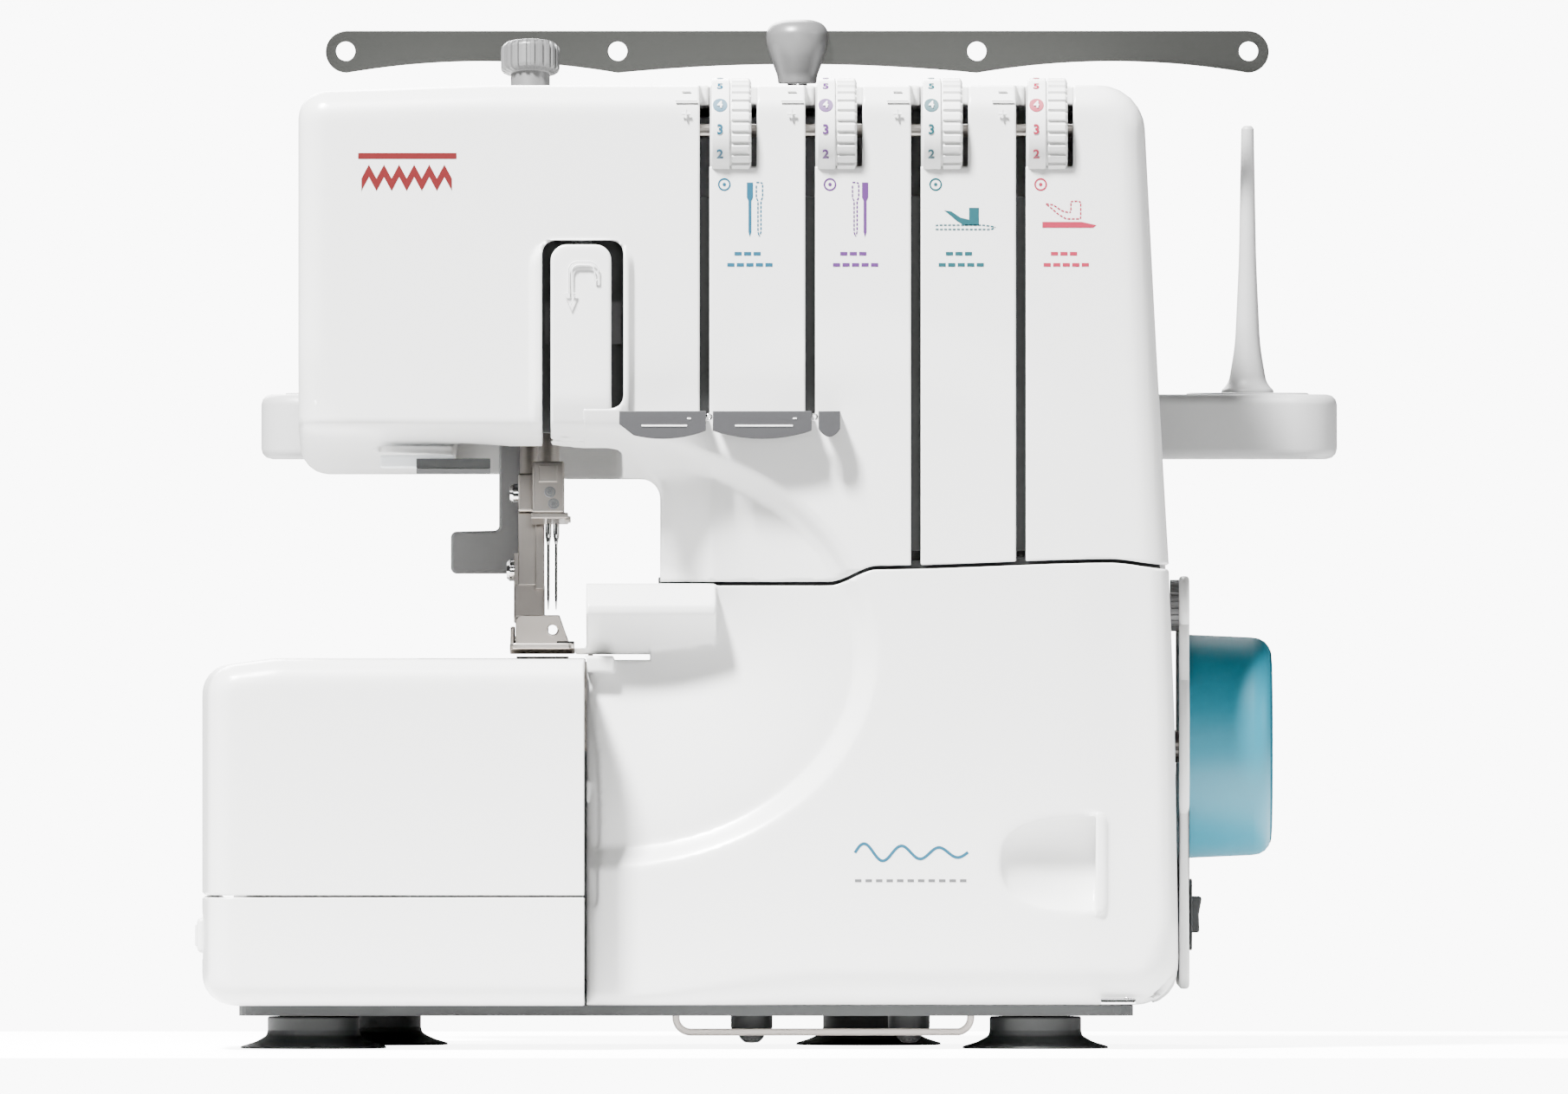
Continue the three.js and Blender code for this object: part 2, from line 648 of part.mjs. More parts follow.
function poleLowerTube() {
  const clip = block(POLE_X - 12, POLE_X + 12, BACK + GAP, POLE_Y, 100, 112);
  const bore = bar("z", 90, 260, [POLE_X, POLE_Y], 5.3);
  return cut(join(poleTube(6.4, 0, 98, 246), clip), bore);
}

/** The flat steel bar with an eye above each spool; its lower edge is scalloped between the eyes. */
function threadGuideBar() {
  const low = GUIDE_MIDDLE - GUIDE_HALF;
  const [left, right] = [POLE_X - GUIDE_END, POLE_X + GUIDE_END];
  const shape = new THREE.Shape();
  shape.moveTo(left, GUIDE_MIDDLE + GUIDE_HALF);
  shape.absarc(left, GUIDE_MIDDLE, GUIDE_HALF, Math.PI / 2, (3 * Math.PI) / 2, false);
  shape.quadraticCurveTo((left + SPOOL_X[1]) / 2, low + 7.2, SPOOL_X[1], low);
  shape.quadraticCurveTo(POLE_X, low + 5.4, SPOOL_X[2], low);
  shape.quadraticCurveTo((right + SPOOL_X[2]) / 2, low + 7.2, right, low);
  shape.absarc(right, GUIDE_MIDDLE, GUIDE_HALF, (3 * Math.PI) / 2, (5 * Math.PI) / 2, false);
  shape.closePath();
  const eyes = SPOOL_X.map((x) => bar("y", 60, 80, [x, GUIDE_MIDDLE + 0.2], 2.95));
  return cut(slab("xz", shape, POLE_Y - 0.6, POLE_Y + 0.6, 8), ...eyes);
}

function poleCap() {
  const cone = [[0, 296.5], [5.6, 296.5], [6.3, 299], [9.2, 307], [9.6, 309]];
  const dome = [[9.6, 312.5], [8.2, 314.8], [4.5, 316.1], [0, 316.3]];
  const barSlot = block(-20, 40, POLE_Y - 0.9, POLE_Y + 0.9, 301.6, 313.1);
  const rodHole = bar("z", 290, 300.5, [POLE_X, POLE_Y], POLE_ROD + GAP);
  return cut(turned(POLE_X, POLE_Y, [...cone, ...dome], 20), barSlot, rodHole);
}

part("spool_stand", spoolStand(), "grey");
SPOOL_X.forEach((x, i) => part("spool_pin_" + (i + 1), spoolPin(x), "grey"));
part("pole_lower_tube", poleLowerTube(), "steel");
part("pole_middle_tube", poleTube(4.9, 3.4, 118, 270), "steel");
part("pole_top_rod", poleTube(POLE_ROD, 0, 138, 300.2), "chrome");
part("thread_guide_bar", threadGuideBar(), "steel");
part("pole_cap", poleCap(), "grey");

// ---- Thread path on the front ----

function dialAxle() {
  return bar("x", -24, 96, [DIAL_Y, DIAL_Z], 2, 16);
}

/** A dial: number band on the left, ribbed band on the right, in steps of one rib. */
function tensionDial(x) {
  const smooth = bar("x", x, x + 6.6, [DIAL_Y, DIAL_Z], DIAL_RADIUS, 36);
  const ribs = new THREE.Shape();
  const count = 20;
  for (let i = 0; i < 2 * count; i += 1) {
    const radius = i % 2 ? DIAL_RADIUS - 0.9 : DIAL_RADIUS;
    const angle = (Math.PI * i) / count;
    ribs[i ? "lineTo" : "moveTo"](DIAL_Y + radius * Math.cos(angle), DIAL_Z + radius * Math.sin(angle));
  }
  ribs.closePath();
  const ribbed = slab("yz", ribs, x + 6.5, x + DIAL_WIDTH);
  const bore = bar("x", x - 1, x + DIAL_WIDTH + 1, [DIAL_Y, DIAL_Z], 2 + GAP, 12);
  return cut(join(smooth, ribbed), bore);
}

function threadChannelPlate() {
  return join(block(-26, 36, -96, -94.5, 190, 260), block(36, 88, -96, -94.5, 152, 260));
}

/** The thin steel plates under the slots, with their front lip turned down. */
function threadGuide(left, right, low, top) {
  const plate = block(left, right, -110, FRONT - GAP, top - 1.2, top);
  const round = (right - left) * 0.2;
  const lipShape = outline([[left, low, round], [right, low, round], [right, top], [left, top]]);
  return join(plate, slab("xz", lipShape, -110.8, -109.8));
}

/** The white tongue in the take-up slot, held at its foot. */
function takeUpCover() {
  const tongue = roundedBox("xz", -66.7, -48.2, HEAD_LOW + 9, 245.4, 5, FRONT - 0.2, FRONT + 2.6);
  const foot = block(-72, -42, FRONT + 3.2, FRONT + 5.5, 190.5, 202);
  const web = block(-64, -51, FRONT + 2, FRONT + 4, 190.5, 200);
  return join(tongue, foot, web);
}

/** A steel arm that carries the needle threads up and down behind the tongue. */
function takeUpLever() {
  const front = block(-68.6, -45.2, FRONT + 6.5, FRONT + 8, 215, 228);
  const rear = block(-58, -56, FRONT + 7.5, -54, 217, 226);
  const eye = bar("x", -60, -54, [-54, 221.5], 5);
  return join(front, rear, eye);
}

part("dial_axle", dialAxle(), "steel");
DIAL_LEFT.forEach((x, i) => part("tension_dial_" + (i + 1), tensionDial(x), "white"));
part("thread_channel_plate", threadChannelPlate(), "dark");
part("thread_guide_left", threadGuide(-45.8, -19.4, 186, 199.6), "midGrey");
part("thread_guide_middle", threadGuide(-17.3, 12.8, 185.6, 199.6), "midGrey");
part("thread_guide_right", threadGuide(14.9, 21.5, 187.7, 199.6), "midGrey");
part("take_up_cover", takeUpCover(), "white");
part("take_up_lever", takeUpLever(), "midGrey");
part("lamp_lens", block(-119, -96, -82, -62, 177.2, 181.4), "clear");

// ---- Needle and presser, on the lean ----

function needleClamp() {
  const body = roundedBox("xy", -72.5, -62.6, -4.5, 4.5, 1, 44.5, 61);
  const flange = block(-72.8, -61, -4.5, 4.5, 43, 45);
  const screws = [48.5, 53].map((z) => bar("y", -7, -3, [-65.5, z], 1.5, 12));
  const bores = [-67.7, -65.3].map((x) => bar("z", 40, 56, [x, 0], 1.25, 12));
  const barBore = bar("z", 57, 70, [NEEDLE_X, 0], 3.6);
  return cut(join(body, flange, ...screws), ...bores, barBore);
}

function needle(x) {
  const profile = [[0, 15], [0.2, 15], [0.42, 19], [0.42, 36], [0.95, 38], [0.95, 55.5], [0, 55.5]];
  return turned(x, 0, profile, 10);
}

function presserBar() {
  const rod = bar("z", 48, 168, [PRESSER_X, PRESSER_BACK], 3);
  const bracket = roundedBox("xy", -77, -70, PRESSER_BACK - 4.5, PRESSER_BACK + 4, 1, 48, 60);
  return join(rod, bracket);
}

/** The shank that the foot hangs from, clamped on the end of the presser bar. */
function presserFootHolder() {
  const back = PRESSER_BACK;
  const shank = block(-77, -70.5, back - 3, back + 3, 25, 47.7);
  const shoulder = block(-78.3, -68.8, back - 3, back + 3, 14.5, 25.5);
  const tongue = block(-77.5, -69.5, back - 3, back + 3, 10.2, 15);
  const screw = bar("x", -80.5, -76.5, [back, 37], 2.5, 16);
  return join(shank, shoulder, tongue, screw);
}

/** The foot: a level sole with a slot for the needles, and two side walls that carry its pin. */
function presserFoot() {
  const [low, top] = [BED_TOP + 1.3, BED_TOP + 3.1];
  const sole = roundedBox("xy", -79.3, -59.6, -86, -36, 2, low, top);
  const slot = block(-70.5, -62.5, -67, -56, low - 1, top + 8);
  const walls = [-79.3, -69.1].map((x) => block(x, x + 1.4, PIN_Y - 6, PIN_Y + 6, top - 0.5, PIN_Z + 4.2));
  const pin = bar("x", -79, -68, [PIN_Y, PIN_Z], 1.2, 12);
  const rightBlock = block(-65.1, -59.6, -54, -38, top - 0.5, top + 3);
  return join(cut(sole, slot), ...walls, pin, rightBlock);
}

function pressureKnob() {
  const back = PRESSER_BACK;
  const ribs = new THREE.Shape();
  const count = 24;
  for (let i = 0; i < 2 * count; i += 1) {
    const radius = i % 2 ? 8.3 : 9;
    const angle = (Math.PI * i) / count;
    ribs[i ? "lineTo" : "moveTo"](PRESSER_X + radius * Math.cos(angle), back + radius * Math.sin(angle));
  }
  ribs.closePath();
  const head = slab("xy", ribs, 187.9, 196.2);
  return join(head, bar("z", 175.5, 189, [PRESSER_X, back], 6));
}

part("needle_bar", bar("z", 57.2, 172, [NEEDLE_X, 0], 3.3), "steel", leaning);
part("needle_clamp", needleClamp(), "steel", leaning);
part("needle_left", needle(-67.7), "chrome", leaning);
part("needle_right", needle(-65.3), "chrome", leaning);
part("presser_bar", presserBar(), "steel", leaning);
part("presser_foot_holder", presserFootHolder(), "steel", leaning);
part("presser_foot", presserFoot(), "steel");
part("pressure_knob", pressureKnob(), "grey", leaning);

/** The grey L-shaped lever behind the foot: a finger pad to the left at the foot of an upright. */
function presserLifter() {
  const shape = outline([
    [-97.8, 145, 1.5],
    [-76.4, 145, 3],
    [-76.4, 190, 3],
    [-83, 190, 3],
    [-83, 158, 2],
    [-97.8, 158, 1.5],
  ]);
  return slab("xz", shape, LIFTER_Y - 3, LIFTER_Y + 3);
}

part("presser_lifter", presserLifter(), "midGrey");

// ---- Under the bed ----

function needlePlate() {
  const plate = roundedBox("xy", -106.9, -57.2, -91.6, -38.4, 1.5, BED_TOP - 2.6, BED_TOP - 0.4);
  const needleSlot = block(-71, -62, -68, -56, 110, 125);
  const feedSlots = block(-79, -60, -54, -42, 110, 125);
  const leg = block(-105, -85, -87, -60, 112, BED_TOP - 2);
  return cut(join(plate, leg), needleSlot, feedSlots);
}

function feedDogs() {
  const toothed = new THREE.Shape();
  toothed.moveTo(-52, 104);
  toothed.lineTo(-52, BED_TOP - 0.6);
  for (let y = -52; y < -44; y += 2) {
    toothed.lineTo(y + 1, BED_TOP + 0.6);
    toothed.lineTo(y + 2, BED_TOP - 0.6);
  }
  toothed.lineTo(-44, 104);
  toothed.closePath();
  return slab("yz", toothed, -77.5, -61.5);
}

function upperKnife() {
  const blade = block(-55.5, -54, -66, -59, 90, 132);
  const hub = bar("x", -55.5, -48, [-62.5, 88], 4.5);
  return join(blade, hub);
}

function lowerKnife() {
  return join(block(-57.2, -55.8, -66, -58, 98, 118.2), block(-64, -55.8, -66, -58, 94, 99));
}

function upperLooper() {
  const arm = block(-50, -47, -77, -73, 62, 108);
  const tip = slab("xz", outline([[-61, 111], [-59, 106.5, 2], [-47, 104, 2], [-47, 109]]), -76.5, -74);
  return join(arm, tip, bar("y", -78, -72, [-48.5, 62], 5));
}

function lowerLooper() {
  const arm = block(-42, -39, -71.5, -68.5, 52, 92);
  const tip = slab("xz", outline([[-58, 94], [-56, 90.5, 2], [-39, 86, 2], [-39, 92]]), -71.2, -69);
  return join(arm, tip, bar("y", -71.7, -68, [-40.5, 52], 5));
}

part("needle_plate", needlePlate(), "steel");
part("feed_dogs", feedDogs(), "chrome");
part("upper_knife", upperKnife(), "steel");
part("lower_knife", lowerKnife(), "steel");
part("upper_looper", upperLooper(), "steel");
part("lower_looper", lowerLooper(), "steel");

/** The rod at the foot of the looper cover; it slides with the cover, which tilts on it. */
function coverHingeRod() {
  return bar("x", -50, 111, [HINGE_Y, HINGE_Z], 1.6, 16);
}

part("cover_hinge_rod", coverHingeRod(), "chrome");

export default machine;
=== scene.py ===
import json
import math
from functools import reduce

import bmesh
import bpy
import numpy as np
from mathutils import Matrix, Vector

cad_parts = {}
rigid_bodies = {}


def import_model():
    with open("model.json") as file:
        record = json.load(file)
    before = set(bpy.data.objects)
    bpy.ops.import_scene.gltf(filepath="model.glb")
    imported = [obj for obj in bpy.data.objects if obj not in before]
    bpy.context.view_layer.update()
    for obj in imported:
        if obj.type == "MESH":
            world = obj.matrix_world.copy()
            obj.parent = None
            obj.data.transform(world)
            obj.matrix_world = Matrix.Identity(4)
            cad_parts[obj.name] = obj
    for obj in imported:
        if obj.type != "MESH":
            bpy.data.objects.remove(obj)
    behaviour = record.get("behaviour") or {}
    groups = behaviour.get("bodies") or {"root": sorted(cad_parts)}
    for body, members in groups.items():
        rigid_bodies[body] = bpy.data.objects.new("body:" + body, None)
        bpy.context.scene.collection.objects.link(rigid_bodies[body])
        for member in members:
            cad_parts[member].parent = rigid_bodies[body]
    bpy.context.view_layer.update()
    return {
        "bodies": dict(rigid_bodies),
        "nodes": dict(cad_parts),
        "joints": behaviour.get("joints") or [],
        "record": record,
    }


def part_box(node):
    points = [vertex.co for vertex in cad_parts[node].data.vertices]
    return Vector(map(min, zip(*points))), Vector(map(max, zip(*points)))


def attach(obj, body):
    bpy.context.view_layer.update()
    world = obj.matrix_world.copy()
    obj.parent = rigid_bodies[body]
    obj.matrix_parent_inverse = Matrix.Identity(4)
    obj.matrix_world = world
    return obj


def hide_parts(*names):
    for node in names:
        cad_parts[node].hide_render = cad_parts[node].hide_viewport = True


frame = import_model()

# The overlock machine's looks. Shapes are in millimetres, and become metres when a mesh is made.
MM = 0.001
PIECES = bpy.data.collections.new("pieces")
bpy.context.scene.collection.children.link(PIECES)


def node_box(name):
    """Lowest and highest corner of a CAD node, in millimetres."""
    low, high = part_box(name)
    return np.array(low) / MM, np.array(high) / MM


HEAD_LOW, HEAD_HIGH = node_box("upper_housing")
COVER_LOW, COVER_HIGH = node_box("looper_cover")
REAR_HIGH = node_box("rear_housing")[1]
BED_LOW, BED_HIGH = node_box("bed_cover")
# ---------------------------------------------------------------- signed distances, negative inside


def length_of(*parts):
    return np.sqrt(sum(part * part for part in parts))


def ramp(value, start, end):
    """0 before start, 1 after end, smooth between."""
    t = np.clip((value - start) / (end - start), 0, 1)
    return t * t * (3 - 2 * t)


def both(*fields):
    """What all the shapes share."""
    return reduce(np.maximum, fields)


def either(*fields):
    """What any of the shapes holds."""
    return reduce(np.minimum, fields)
def melt(a, b, width):
    """Both shapes joined with a fillet of about that width."""
    h = np.clip(0.5 + 0.5 * (b - a) / width, 0, 1)
    return b * (1 - h) + a * h - width * h * (1 - h)


def carve(a, b, width=0.6):
    """The first shape less the second, with a rounded edge."""
    return -melt(-a, b, width)


def ball_sum(*parts, radius=0.0):
    """One rounded solid from distances: each part is the distance outside a face or a pair of faces."""
    shifted = [part + radius for part in parts]
    outside = length_of(*[np.maximum(part, 0) for part in shifted])
    return outside + np.minimum(both(*shifted), 0) - radius


def box_of(values, low, high, radius):
    sides = [np.abs(value - (lo + hi) / 2) - (hi - lo) / 2 for value, lo, hi in zip(values, low, high)]
    return ball_sum(*sides, radius=radius)


def block(x, y, z, low, high, radius=0.0):
    """A box with rounded edges."""
    return box_of((x, y, z), low, high, radius)


def block2(u, v, low, high, radius):
    """A rounded rectangle in the plane."""
    return box_of((u, v), low, high, radius)
def rounded_corners(corners, steps=7):
    """The points of an outline given as (u, v, corner radius)."""
    points = []
    for i, (u, v, radius) in enumerate(corners):
        here = np.array([u, v], float)
        before = np.array(corners[i - 1][:2], float) - here
        after = np.array(corners[(i + 1) % len(corners)][:2], float) - here
        before /= np.hypot(*before)
        after /= np.hypot(*after)
        if radius <= 0:
            points.append(here)
            continue
        half = math.acos(np.clip(before @ after, -1, 1)) / 2
        middle = here + (before + after) / np.hypot(*(before + after)) * radius / math.sin(half)
        first = here + before * radius / math.tan(half) - middle
        last = here + after * radius / math.tan(half) - middle
        for t in np.linspace(0, 1, steps):
            spoke = first * (1 - t) + last * t
            points.append(middle + spoke / np.hypot(*spoke) * radius)
    return np.array(points)


def outline(u, v, points):
    """Signed distance in the plane to a closed outline."""
    best = np.full(np.broadcast(u, v).shape, 1e9)
    inside = np.zeros(best.shape, bool)
    for (au, av), (bu, bv) in zip(points, np.roll(points, -1, axis=0)):
        eu, ev = bu - au, bv - av
        t = np.clip(((u - au) * eu + (v - av) * ev) / (eu * eu + ev * ev), 0, 1)
        best = np.minimum(best, (u - au - t * eu) ** 2 + (v - av - t * ev) ** 2)
        if av != bv:
            crossing = (v >= min(av, bv)) & (v < max(av, bv))
            inside ^= crossing & (u < au + (v - av) * eu / ev)
    return np.where(inside, -1, 1) * np.sqrt(best)


# ---------------------------------------------------------------- meshes from signed distances


def lines(low, high, coarse, light_strips=(), fine=0.4, reach=3):
    """Grid lines with that coarse step, closer together round each mark."""
    near = [mark + fine * (k + 0.5) for mark in light_strips for k in range(-reach, reach)]
    even = np.arange(low - coarse, high + 2 * coarse, coarse)
    rest = [value for value in even if all(abs(value - mark) > fine * (reach + 0.3) for mark in light_strips)]
    result = [low - 2 * coarse]
    for value in sorted(near + rest):
        if value - result[-1] > 0.45 * fine:
            result.append(value)
    return np.array(result)
CELL_CORNERS = np.array([(i, j, k) for i in (0, 1) for j in (0, 1) for k in (0, 1)])
CELL_EDGES = [
    (a, b)
    for a in range(8)
    for b in range(a + 1, 8)
    if np.abs(CELL_CORNERS[a] - CELL_CORNERS[b]).sum() == 1
]


def crossings(field, axes):
    """One point for each grid cell that the surface passes: the mean of its cuts through the cell's edges."""
    value = field(axes[0][:, None, None], axes[1][None, :, None], axes[2][None, None, :])
    value = np.broadcast_to(value, tuple(len(a) for a in axes))
    inside = value < 0
    n = np.array(value.shape) - 1
    count = np.zeros(n, np.int8)
    for i, j, k in CELL_CORNERS:
        count += inside[i : n[0] + i, j : n[1] + j, k : n[2] + k]
    cells = np.argwhere((count > 0) & (count < 8))
    at = cells[:, None, :] + CELL_CORNERS[None]
    corner_value = value[at[..., 0], at[..., 1], at[..., 2]]
    corner_place = np.stack([axes[d][at[..., d]] for d in range(3)], axis=-1)
    total = np.zeros((len(cells), 3))
    hits = np.zeros(len(cells))
    for a, b in CELL_EDGES:
        va, vb = corner_value[:, a], corner_value[:, b]
        cut = (va < 0) != (vb < 0)
        t = np.where(cut, va / np.where(cut, va - vb, 1), 0)[:, None]
        place = corner_place[:, a] * (1 - t) + corner_place[:, b] * t
        total[cut] += place[cut]
        hits += cut
    size = corner_place[:, 7] - corner_place[:, 0]
    return total / hits[:, None], size, cells, inside


def quads(cells, inside):
    """Four cells round each grid edge that the surface cuts, turned so that the face looks out."""
    number = np.full(np.array(inside.shape) - 1, -1)
    number[tuple(cells.T)] = np.arange(len(cells))
    faces = []
    for axis in range(3):
        first = np.take(inside, range(inside.shape[axis] - 1), axis)
        second = np.take(inside, range(1, inside.shape[axis]), axis)
        u, v = (axis + 1) % 3, (axis + 2) % 3
        at = np.argwhere(first != second)
        at = at[(at[:, u] > 0) & (at[:, v] > 0)]
        at = at[(at[:, u] < inside.shape[u] - 1) & (at[:, v] < inside.shape[v] - 1)]
        ring = []
        for du, dv in ((-1, -1), (0, -1), (0, 0), (-1, 0)):
            cell = at.copy()
            cell[:, u] += du
            cell[:, v] += dv
            ring.append(number[tuple(cell.T)])
        ring = np.stack(ring, axis=1)
        outward = first[tuple(at.T)]
        faces.append(np.where(outward[:, None], ring, ring[:, ::-1]))
    return np.concatenate(faces)


def settle(field, points, size):
    """Moves points onto the surface along its slope, never far from their cell."""
    start = points.copy()
    step = 0.01
    for _ in range(4):
        x, y, z = points.T
        value = field(x, y, z)
        slopes = [
            field(x + step, y, z) - field(x - step, y, z),
            field(x, y + step, z) - field(x, y - step, z),
            field(x, y, z + step) - field(x, y, z - step),
        ]
        slope = np.stack(slopes, axis=1) / (2 * step)
        steep = np.maximum((slope**2).sum(1), 0.05)
        points = points - slope * (value / steep)[:, None]
        points = np.clip(points, start - 0.55 * size, start + 0.55 * size)
    return points


def net(name, field, axes):
    """A mesh object on the zero level of a signed distance."""
    points, size, cells, inside = crossings(field, axes)
    points = settle(field, points, size)
    return mesh_object(name, points * MM, quads(cells, inside))
def mesh_object(name, points, faces):
    mesh = bpy.data.meshes.new(name)
    mesh.from_pydata(np.asarray(points).tolist(), [], np.asarray(faces).tolist())
    mesh.update()
    mesh.polygons.foreach_set("use_smooth", [True] * len(mesh.polygons))
    piece = bpy.data.objects.new(name, mesh)
    PIECES.objects.link(piece)
    weighted = piece.modifiers.new("even shading", "WEIGHTED_NORMAL")
    weighted.weight = 60
    return piece


def place(piece, body, slot_name, material, *replaced):
    """Puts a finished piece on its body, with its finish and the CAD nodes it stands for."""
    piece.data.materials.clear()
    piece.data.materials.append(material)
    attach(piece, body)
    if replaced:
        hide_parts(*replaced)


# ---------------------------------------------------------------- finishes


def shader_node(tree, kind, **values):
    """A new shader node with those input values."""
    made = tree.nodes.new("ShaderNode" + kind)
    for socket, value in values.items():
        made.inputs[socket.replace("_", " ")].default_value = value
    return made


def link(tree, *links):
    """Joins node outputs to node inputs."""
    for source, output, target, socket in links:
        tree.links.new(source.outputs[output], target.inputs[socket])


def finish(name, colour, roughness, metallic=0.0, grain=400.0, depth=0.02, brushed=(1, 1, 1)):
    """A plain material with fine uneven gloss and a fine grain, both from noise in the piece's own space."""
    material = bpy.data.materials.new(name)
    material.use_nodes = True
    tree = material.node_tree
    shader = tree.nodes["Principled BSDF"]
    shader.inputs["Base Color"].default_value = (*colour, 1)
    shader.inputs["Metallic"].default_value = metallic
    where = shader_node(tree, "TexCoord")
    stretch = shader_node(tree, "Mapping", Scale=brushed)
    noise = shader_node(tree, "TexNoise", Scale=grain, Detail=3)
    gloss = shader_node(tree, "MapRange", To_Min=max(roughness - 0.05, 0.02), To_Max=roughness + 0.05)
    bump = shader_node(tree, "Bump", Strength=0.25, Distance=depth * MM)
    link(
        tree,
        (where, "Object", stretch, "Vector"),
        (stretch, "Vector", noise, "Vector"),
        (noise, "Fac", gloss, "Value"),
        (gloss, "Result", shader, "Roughness"),
        (noise, "Fac", bump, "Height"),
        (bump, "Normal", shader, "Normal"),
    )
    return material


def print_ink(name, colour):
    return finish(name + " print", colour, 0.4, grain=900, depth=0.01)


WHITE = finish("white plastic", (0.62, 0.62, 0.613), 0.3, grain=900)
SATIN = finish("light grey plastic", (0.33, 0.33, 0.33), 0.45, grain=1200, depth=0.04)
PALE = finish("pale knob plastic", (0.09, 0.09, 0.09), 0.35, grain=1200)
GREY = finish("grey painted steel", (0.03, 0.03, 0.032), 0.5, grain=1500)
LEVER = finish("grey painted lever", (0.14, 0.142, 0.143), 0.5, grain=1500)
BLACK = finish("black plastic", (0.02, 0.022, 0.022), 0.45, grain=1500, depth=0.05)
RUBBER = finish("rubber", (0.009, 0.01, 0.01), 0.5, grain=900, depth=0.05)
# Dark plastic, and also the painted shade behind the take-up slots.
DARK = finish("dark channel plastic and painted slot shade", (0.04, 0.042, 0.042), 0.7, grain=900)
STEEL = finish("nickel steel", (0.46, 0.43, 0.4), 0.32, 1.0, grain=900, depth=0.01)
SHOULDER = finish("light nickel", (0.4, 0.37, 0.345), 0.35, 1.0, grain=900, depth=0.01)
BRUSHED = finish("brushed steel", (0.055, 0.056, 0.053), 0.36, 1.0, 260, 0.012, (0.05, 1, 9))
CHROME = finish("chrome", (0.78, 0.78, 0.78), 0.08, 1.0, grain=200, depth=0.004)
CAST = finish("cast metal", (0.3, 0.31, 0.32), 0.6, 0.8, grain=500, depth=0.15)
BLUE = finish("blue wheel plastic", (0.006, 0.15, 0.215), 0.45, grain=1200, depth=0.04)
LENS = finish("frosted lamp lens", (0.8, 0.83, 0.85), 0.5, grain=600)
WIRE = finish("painted wire", (0.42, 0.38, 0.35), 0.4, grain=900)
PRINT_RED = print_ink("red", (0.085, 0.0, 0.001))
PRINT_BLUE = print_ink("blue", (0.001, 0.06, 0.105))
PRINT_PURPLE = print_ink("purple", (0.06, 0.013, 0.1))
PRINT_TEAL = print_ink("teal", (0.0, 0.05, 0.062))
PRINT_PINK = print_ink("pink", (0.24, 0.006, 0.03))
PRINT_GREY = print_ink("grey", (0.08, 0.08, 0.083))
# ---------------------------------------------------------------- head and column

HEAD_LEFT, HEAD_BASE, HEAD_TOP = HEAD_LOW[0], 175.6, HEAD_HIGH[2]
FRONT = HEAD_LOW[1]
SPLIT = HEAD_HIGH[1]
THROAT = -33.4
BED_LEFT, BED_RIGHT = BED_LOW[0], BED_HIGH[0]
BED_FRONT, BED_BACK = BED_LOW[1], BED_HIGH[1]
BED_SPLIT = BED_LOW[2]
DIALS = [node_box(f"tension_dial_{i}") for i in (1, 2, 3, 4)]
SLOT_LOW = [193.8, 193.8, 140, 140]
SLOT_WIDE = 3.0
SEAM_GAP = 1.2
WINDOW_LOW, WINDOW_SPARE = 269.2, 1.7
LIP_LEFT, LIP_TOP = -120.2, 181.4
def seam_height(x):
    """The parting line between head and looper cover."""
    rise = 4.9 * ramp(x, 18, 33) + 2.1 * ramp(x, 30, 108)
    return 142.6 + rise - 2 * ramp(x, 103, 123)


def casing_outline(*lower_corners):
    """An outline of the casing from the front: its lower corners, then up the right side and over the top."""
    return rounded_corners(
        [*lower_corners, (121.8, 147, 0), (118.1, 211, 0), (113.8, HEAD_TOP, 14), (-85, HEAD_TOP, 0),
         (HEAD_LEFT, HEAD_TOP - 2, 8.5)]
    )


HEAD_OUTLINE = casing_outline(
    (HEAD_LEFT, HEAD_BASE, 8), (-78, HEAD_BASE, 0), (-62, 174, 0), (THROAT, 174, 6), (THROAT, 100, 0),
    (123.3, 100, 0),
)
def oval(x, z, wide, tall):
    """Signed distance, near enough, to the oval of the round recess."""
    dx, dz = (x + 50) / wide, (z - 121) / tall
    k = length_of(dx, dz) + 1e-9
    slope = length_of(dx / wide, dz / tall) / k + 1e-9
    return (k - 1) / slope


def dish(x, z):
    """How far the round recess goes in: a sloped band inside its rim, then a floor that falls away."""
    e = -oval(x, z, 84, 67)
    return 5.5 * ramp(e, 0, 9) + 10.5 * ramp(e, 9, 78)


def soft(value, width):
    """value where positive, 0 where negative, with a soft turn."""
    return 0.5 * (value + np.sqrt(value * value + width * width))


def crease(x, z):
    """How far the face steps back outside the soft crease over the column and down its right side."""
    arc = length_of((x - 30) / 78, (z - 138) / 80)
    below = ramp(z, 120, 150)
    return 0.9 * ramp((arc - 1) * 78 * below + (x - 104) * (1 - below), -16, 10)


def head_face(x, z):
    """The front surface of the head and column, as a Y place."""
    chamfer = soft(-17.6 - x, 1.2) * 0.8 * ramp(z, 192, 172) * (1 - ramp(z, 185, 200))
    return FRONT + dish(x, z) * ramp(x, -42, -30) + chamfer + crease(x, z)
def rounding(x, z):
    """Radius of the edge between the front and the sides: big under the head, small at the throat."""
    inner = ramp(x, -48, -34) * (1 - ramp(x, 70, 100))
    low = 1 - ramp(z, 190, 214)
    return 9 + 6 * low * (1 - ramp(x, -48, -34)) - 7.2 * (1 - ramp(z, 176, 196)) * inner


def rim_raise(x, z):
    """The moulded frame round the take-up slot."""
    frame = block2(x, z, (-72.6, 186), (-41.8, 246.6), 8)
    return 2.6 * (1 - ramp(frame, -1.6, 0.9)) * ramp(z, 186, 200)


def head_solid(x, y, z):
    face = head_face(x, z) - rim_raise(x, z)
    return ball_sum(outline(x, z, HEAD_OUTLINE), face - y, radius=rounding(x, z))


